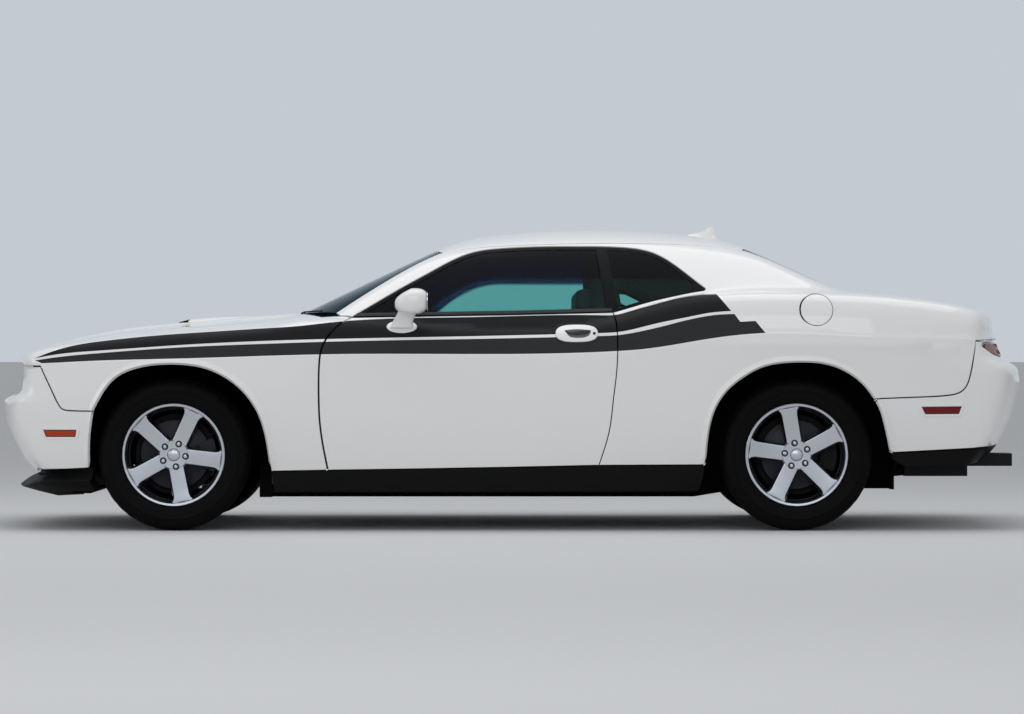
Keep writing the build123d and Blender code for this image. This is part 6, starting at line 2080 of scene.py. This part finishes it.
class CAR_OT_painted_panels(bpy.types.Operator):
    """Builds bumpers, fenders, hood, doors, sides, roof and decklid"""

    bl_idname = "car.painted_panels"
    bl_label = "Build the painted panels"

    def execute(self, context):
        build_front_bumper()
        build_fenders()
        build_hood()
        build_doors()
        build_body_sides()
        build_fuel_flap()
        build_roof()
        build_decklid()
        build_rear_bumper()
        return {"FINISHED"}


class CAR_OT_glazing(bpy.types.Operator):
    """Builds windshield, rear window and side windows"""

    bl_idname = "car.glazing"
    bl_label = "Build the glass"

    def execute(self, context):
        build_windshield()
        build_rear_window()
        build_side_windows()
        return {"FINISHED"}


class CAR_OT_lamps(bpy.types.Operator):
    """Builds the grille, lamps and side markers"""

    bl_idname = "car.lamps"
    bl_label = "Build grille and lamps"

    def execute(self, context):
        build_grille()
        build_tail_lamps()
        build_markers()
        return {"FINISHED"}


class CAR_OT_trim(bpy.types.Operator):
    """Builds sills, spoiler, plate, handles, mirrors, fin, scoops and cowl"""

    bl_idname = "car.trim"
    bl_label = "Build the trim"

    def execute(self, context):
        build_sills()
        build_valance()
        build_splitter()
        build_plate()
        build_handles()
        build_mirrors()
        build_belt_trim()
        build_fin()
        build_hood_scoops()
        build_cowl()
        return {"FINISHED"}


class CAR_OT_wheels(bpy.types.Operator):
    """Builds four wheels with tyres and brake discs"""

    bl_idname = "car.wheels"
    bl_label = "Build the wheels"

    def execute(self, context):
        for end in ENDS:
            for side, sign in SIDES:
                build_wheel(end, side, sign)
                build_tyre(end, side, sign)
        return {"FINISHED"}


class CAR_OT_cabin(bpy.types.Operator):
    """Builds seats, headliner, trim and steering wheel"""

    bl_idname = "car.cabin"
    bl_label = "Build the cabin"

    def execute(self, context):
        build_seats()
        build_cabin_trim()
        build_steering_wheel()
        return {"FINISHED"}


class CAR_OT_structure(bpy.types.Operator):
    """Gives the pieces of the structure their finishes"""

    bl_idname = "car.structure"
    bl_label = "Dress the structure"

    def execute(self, context):
        dress_kept_nodes()
        return {"FINISHED"}


class CAR_OT_stage(bpy.types.Operator):
    """Adds floor, lights and a level camera"""

    bl_idname = "car.stage"
    bl_label = "Set the stage"

    def execute(self, context):
        build_stage(context.scene.car)
        return {"FINISHED"}


OPERATORS = (CAR_OT_finishes, CAR_OT_painted_panels, CAR_OT_glazing, CAR_OT_lamps, CAR_OT_trim, CAR_OT_wheels,
             CAR_OT_cabin, CAR_OT_structure, CAR_OT_stage)


class CAR_PT_panel(bpy.types.Panel):
    """The car's settings and its build steps"""

    bl_label = "Muscle car"
    bl_idname = "CAR_PT_panel"
    bl_space_type = "VIEW_3D"
    bl_region_type = "UI"
    bl_category = "Car"

    def draw(self, context):
        for name in CarProperties.__annotations__:
            self.layout.prop(context.scene.car, name)
        for operator in OPERATORS:
            self.layout.operator(operator.bl_idname)


def register():
    for made in (CarProperties, *OPERATORS, CAR_PT_panel):
        bpy.utils.register_class(made)
    bpy.types.Scene.car = PointerProperty(type=CarProperties)


def unregister():
    del bpy.types.Scene.car
    for made in (CAR_PT_panel, *OPERATORS[::-1], CarProperties):
        bpy.utils.unregister_class(made)


def main():
    register()
    for operator in OPERATORS:
        getattr(bpy.ops.car, operator.bl_idname.split(".")[1])()


if __name__ == "__main__":
    main()
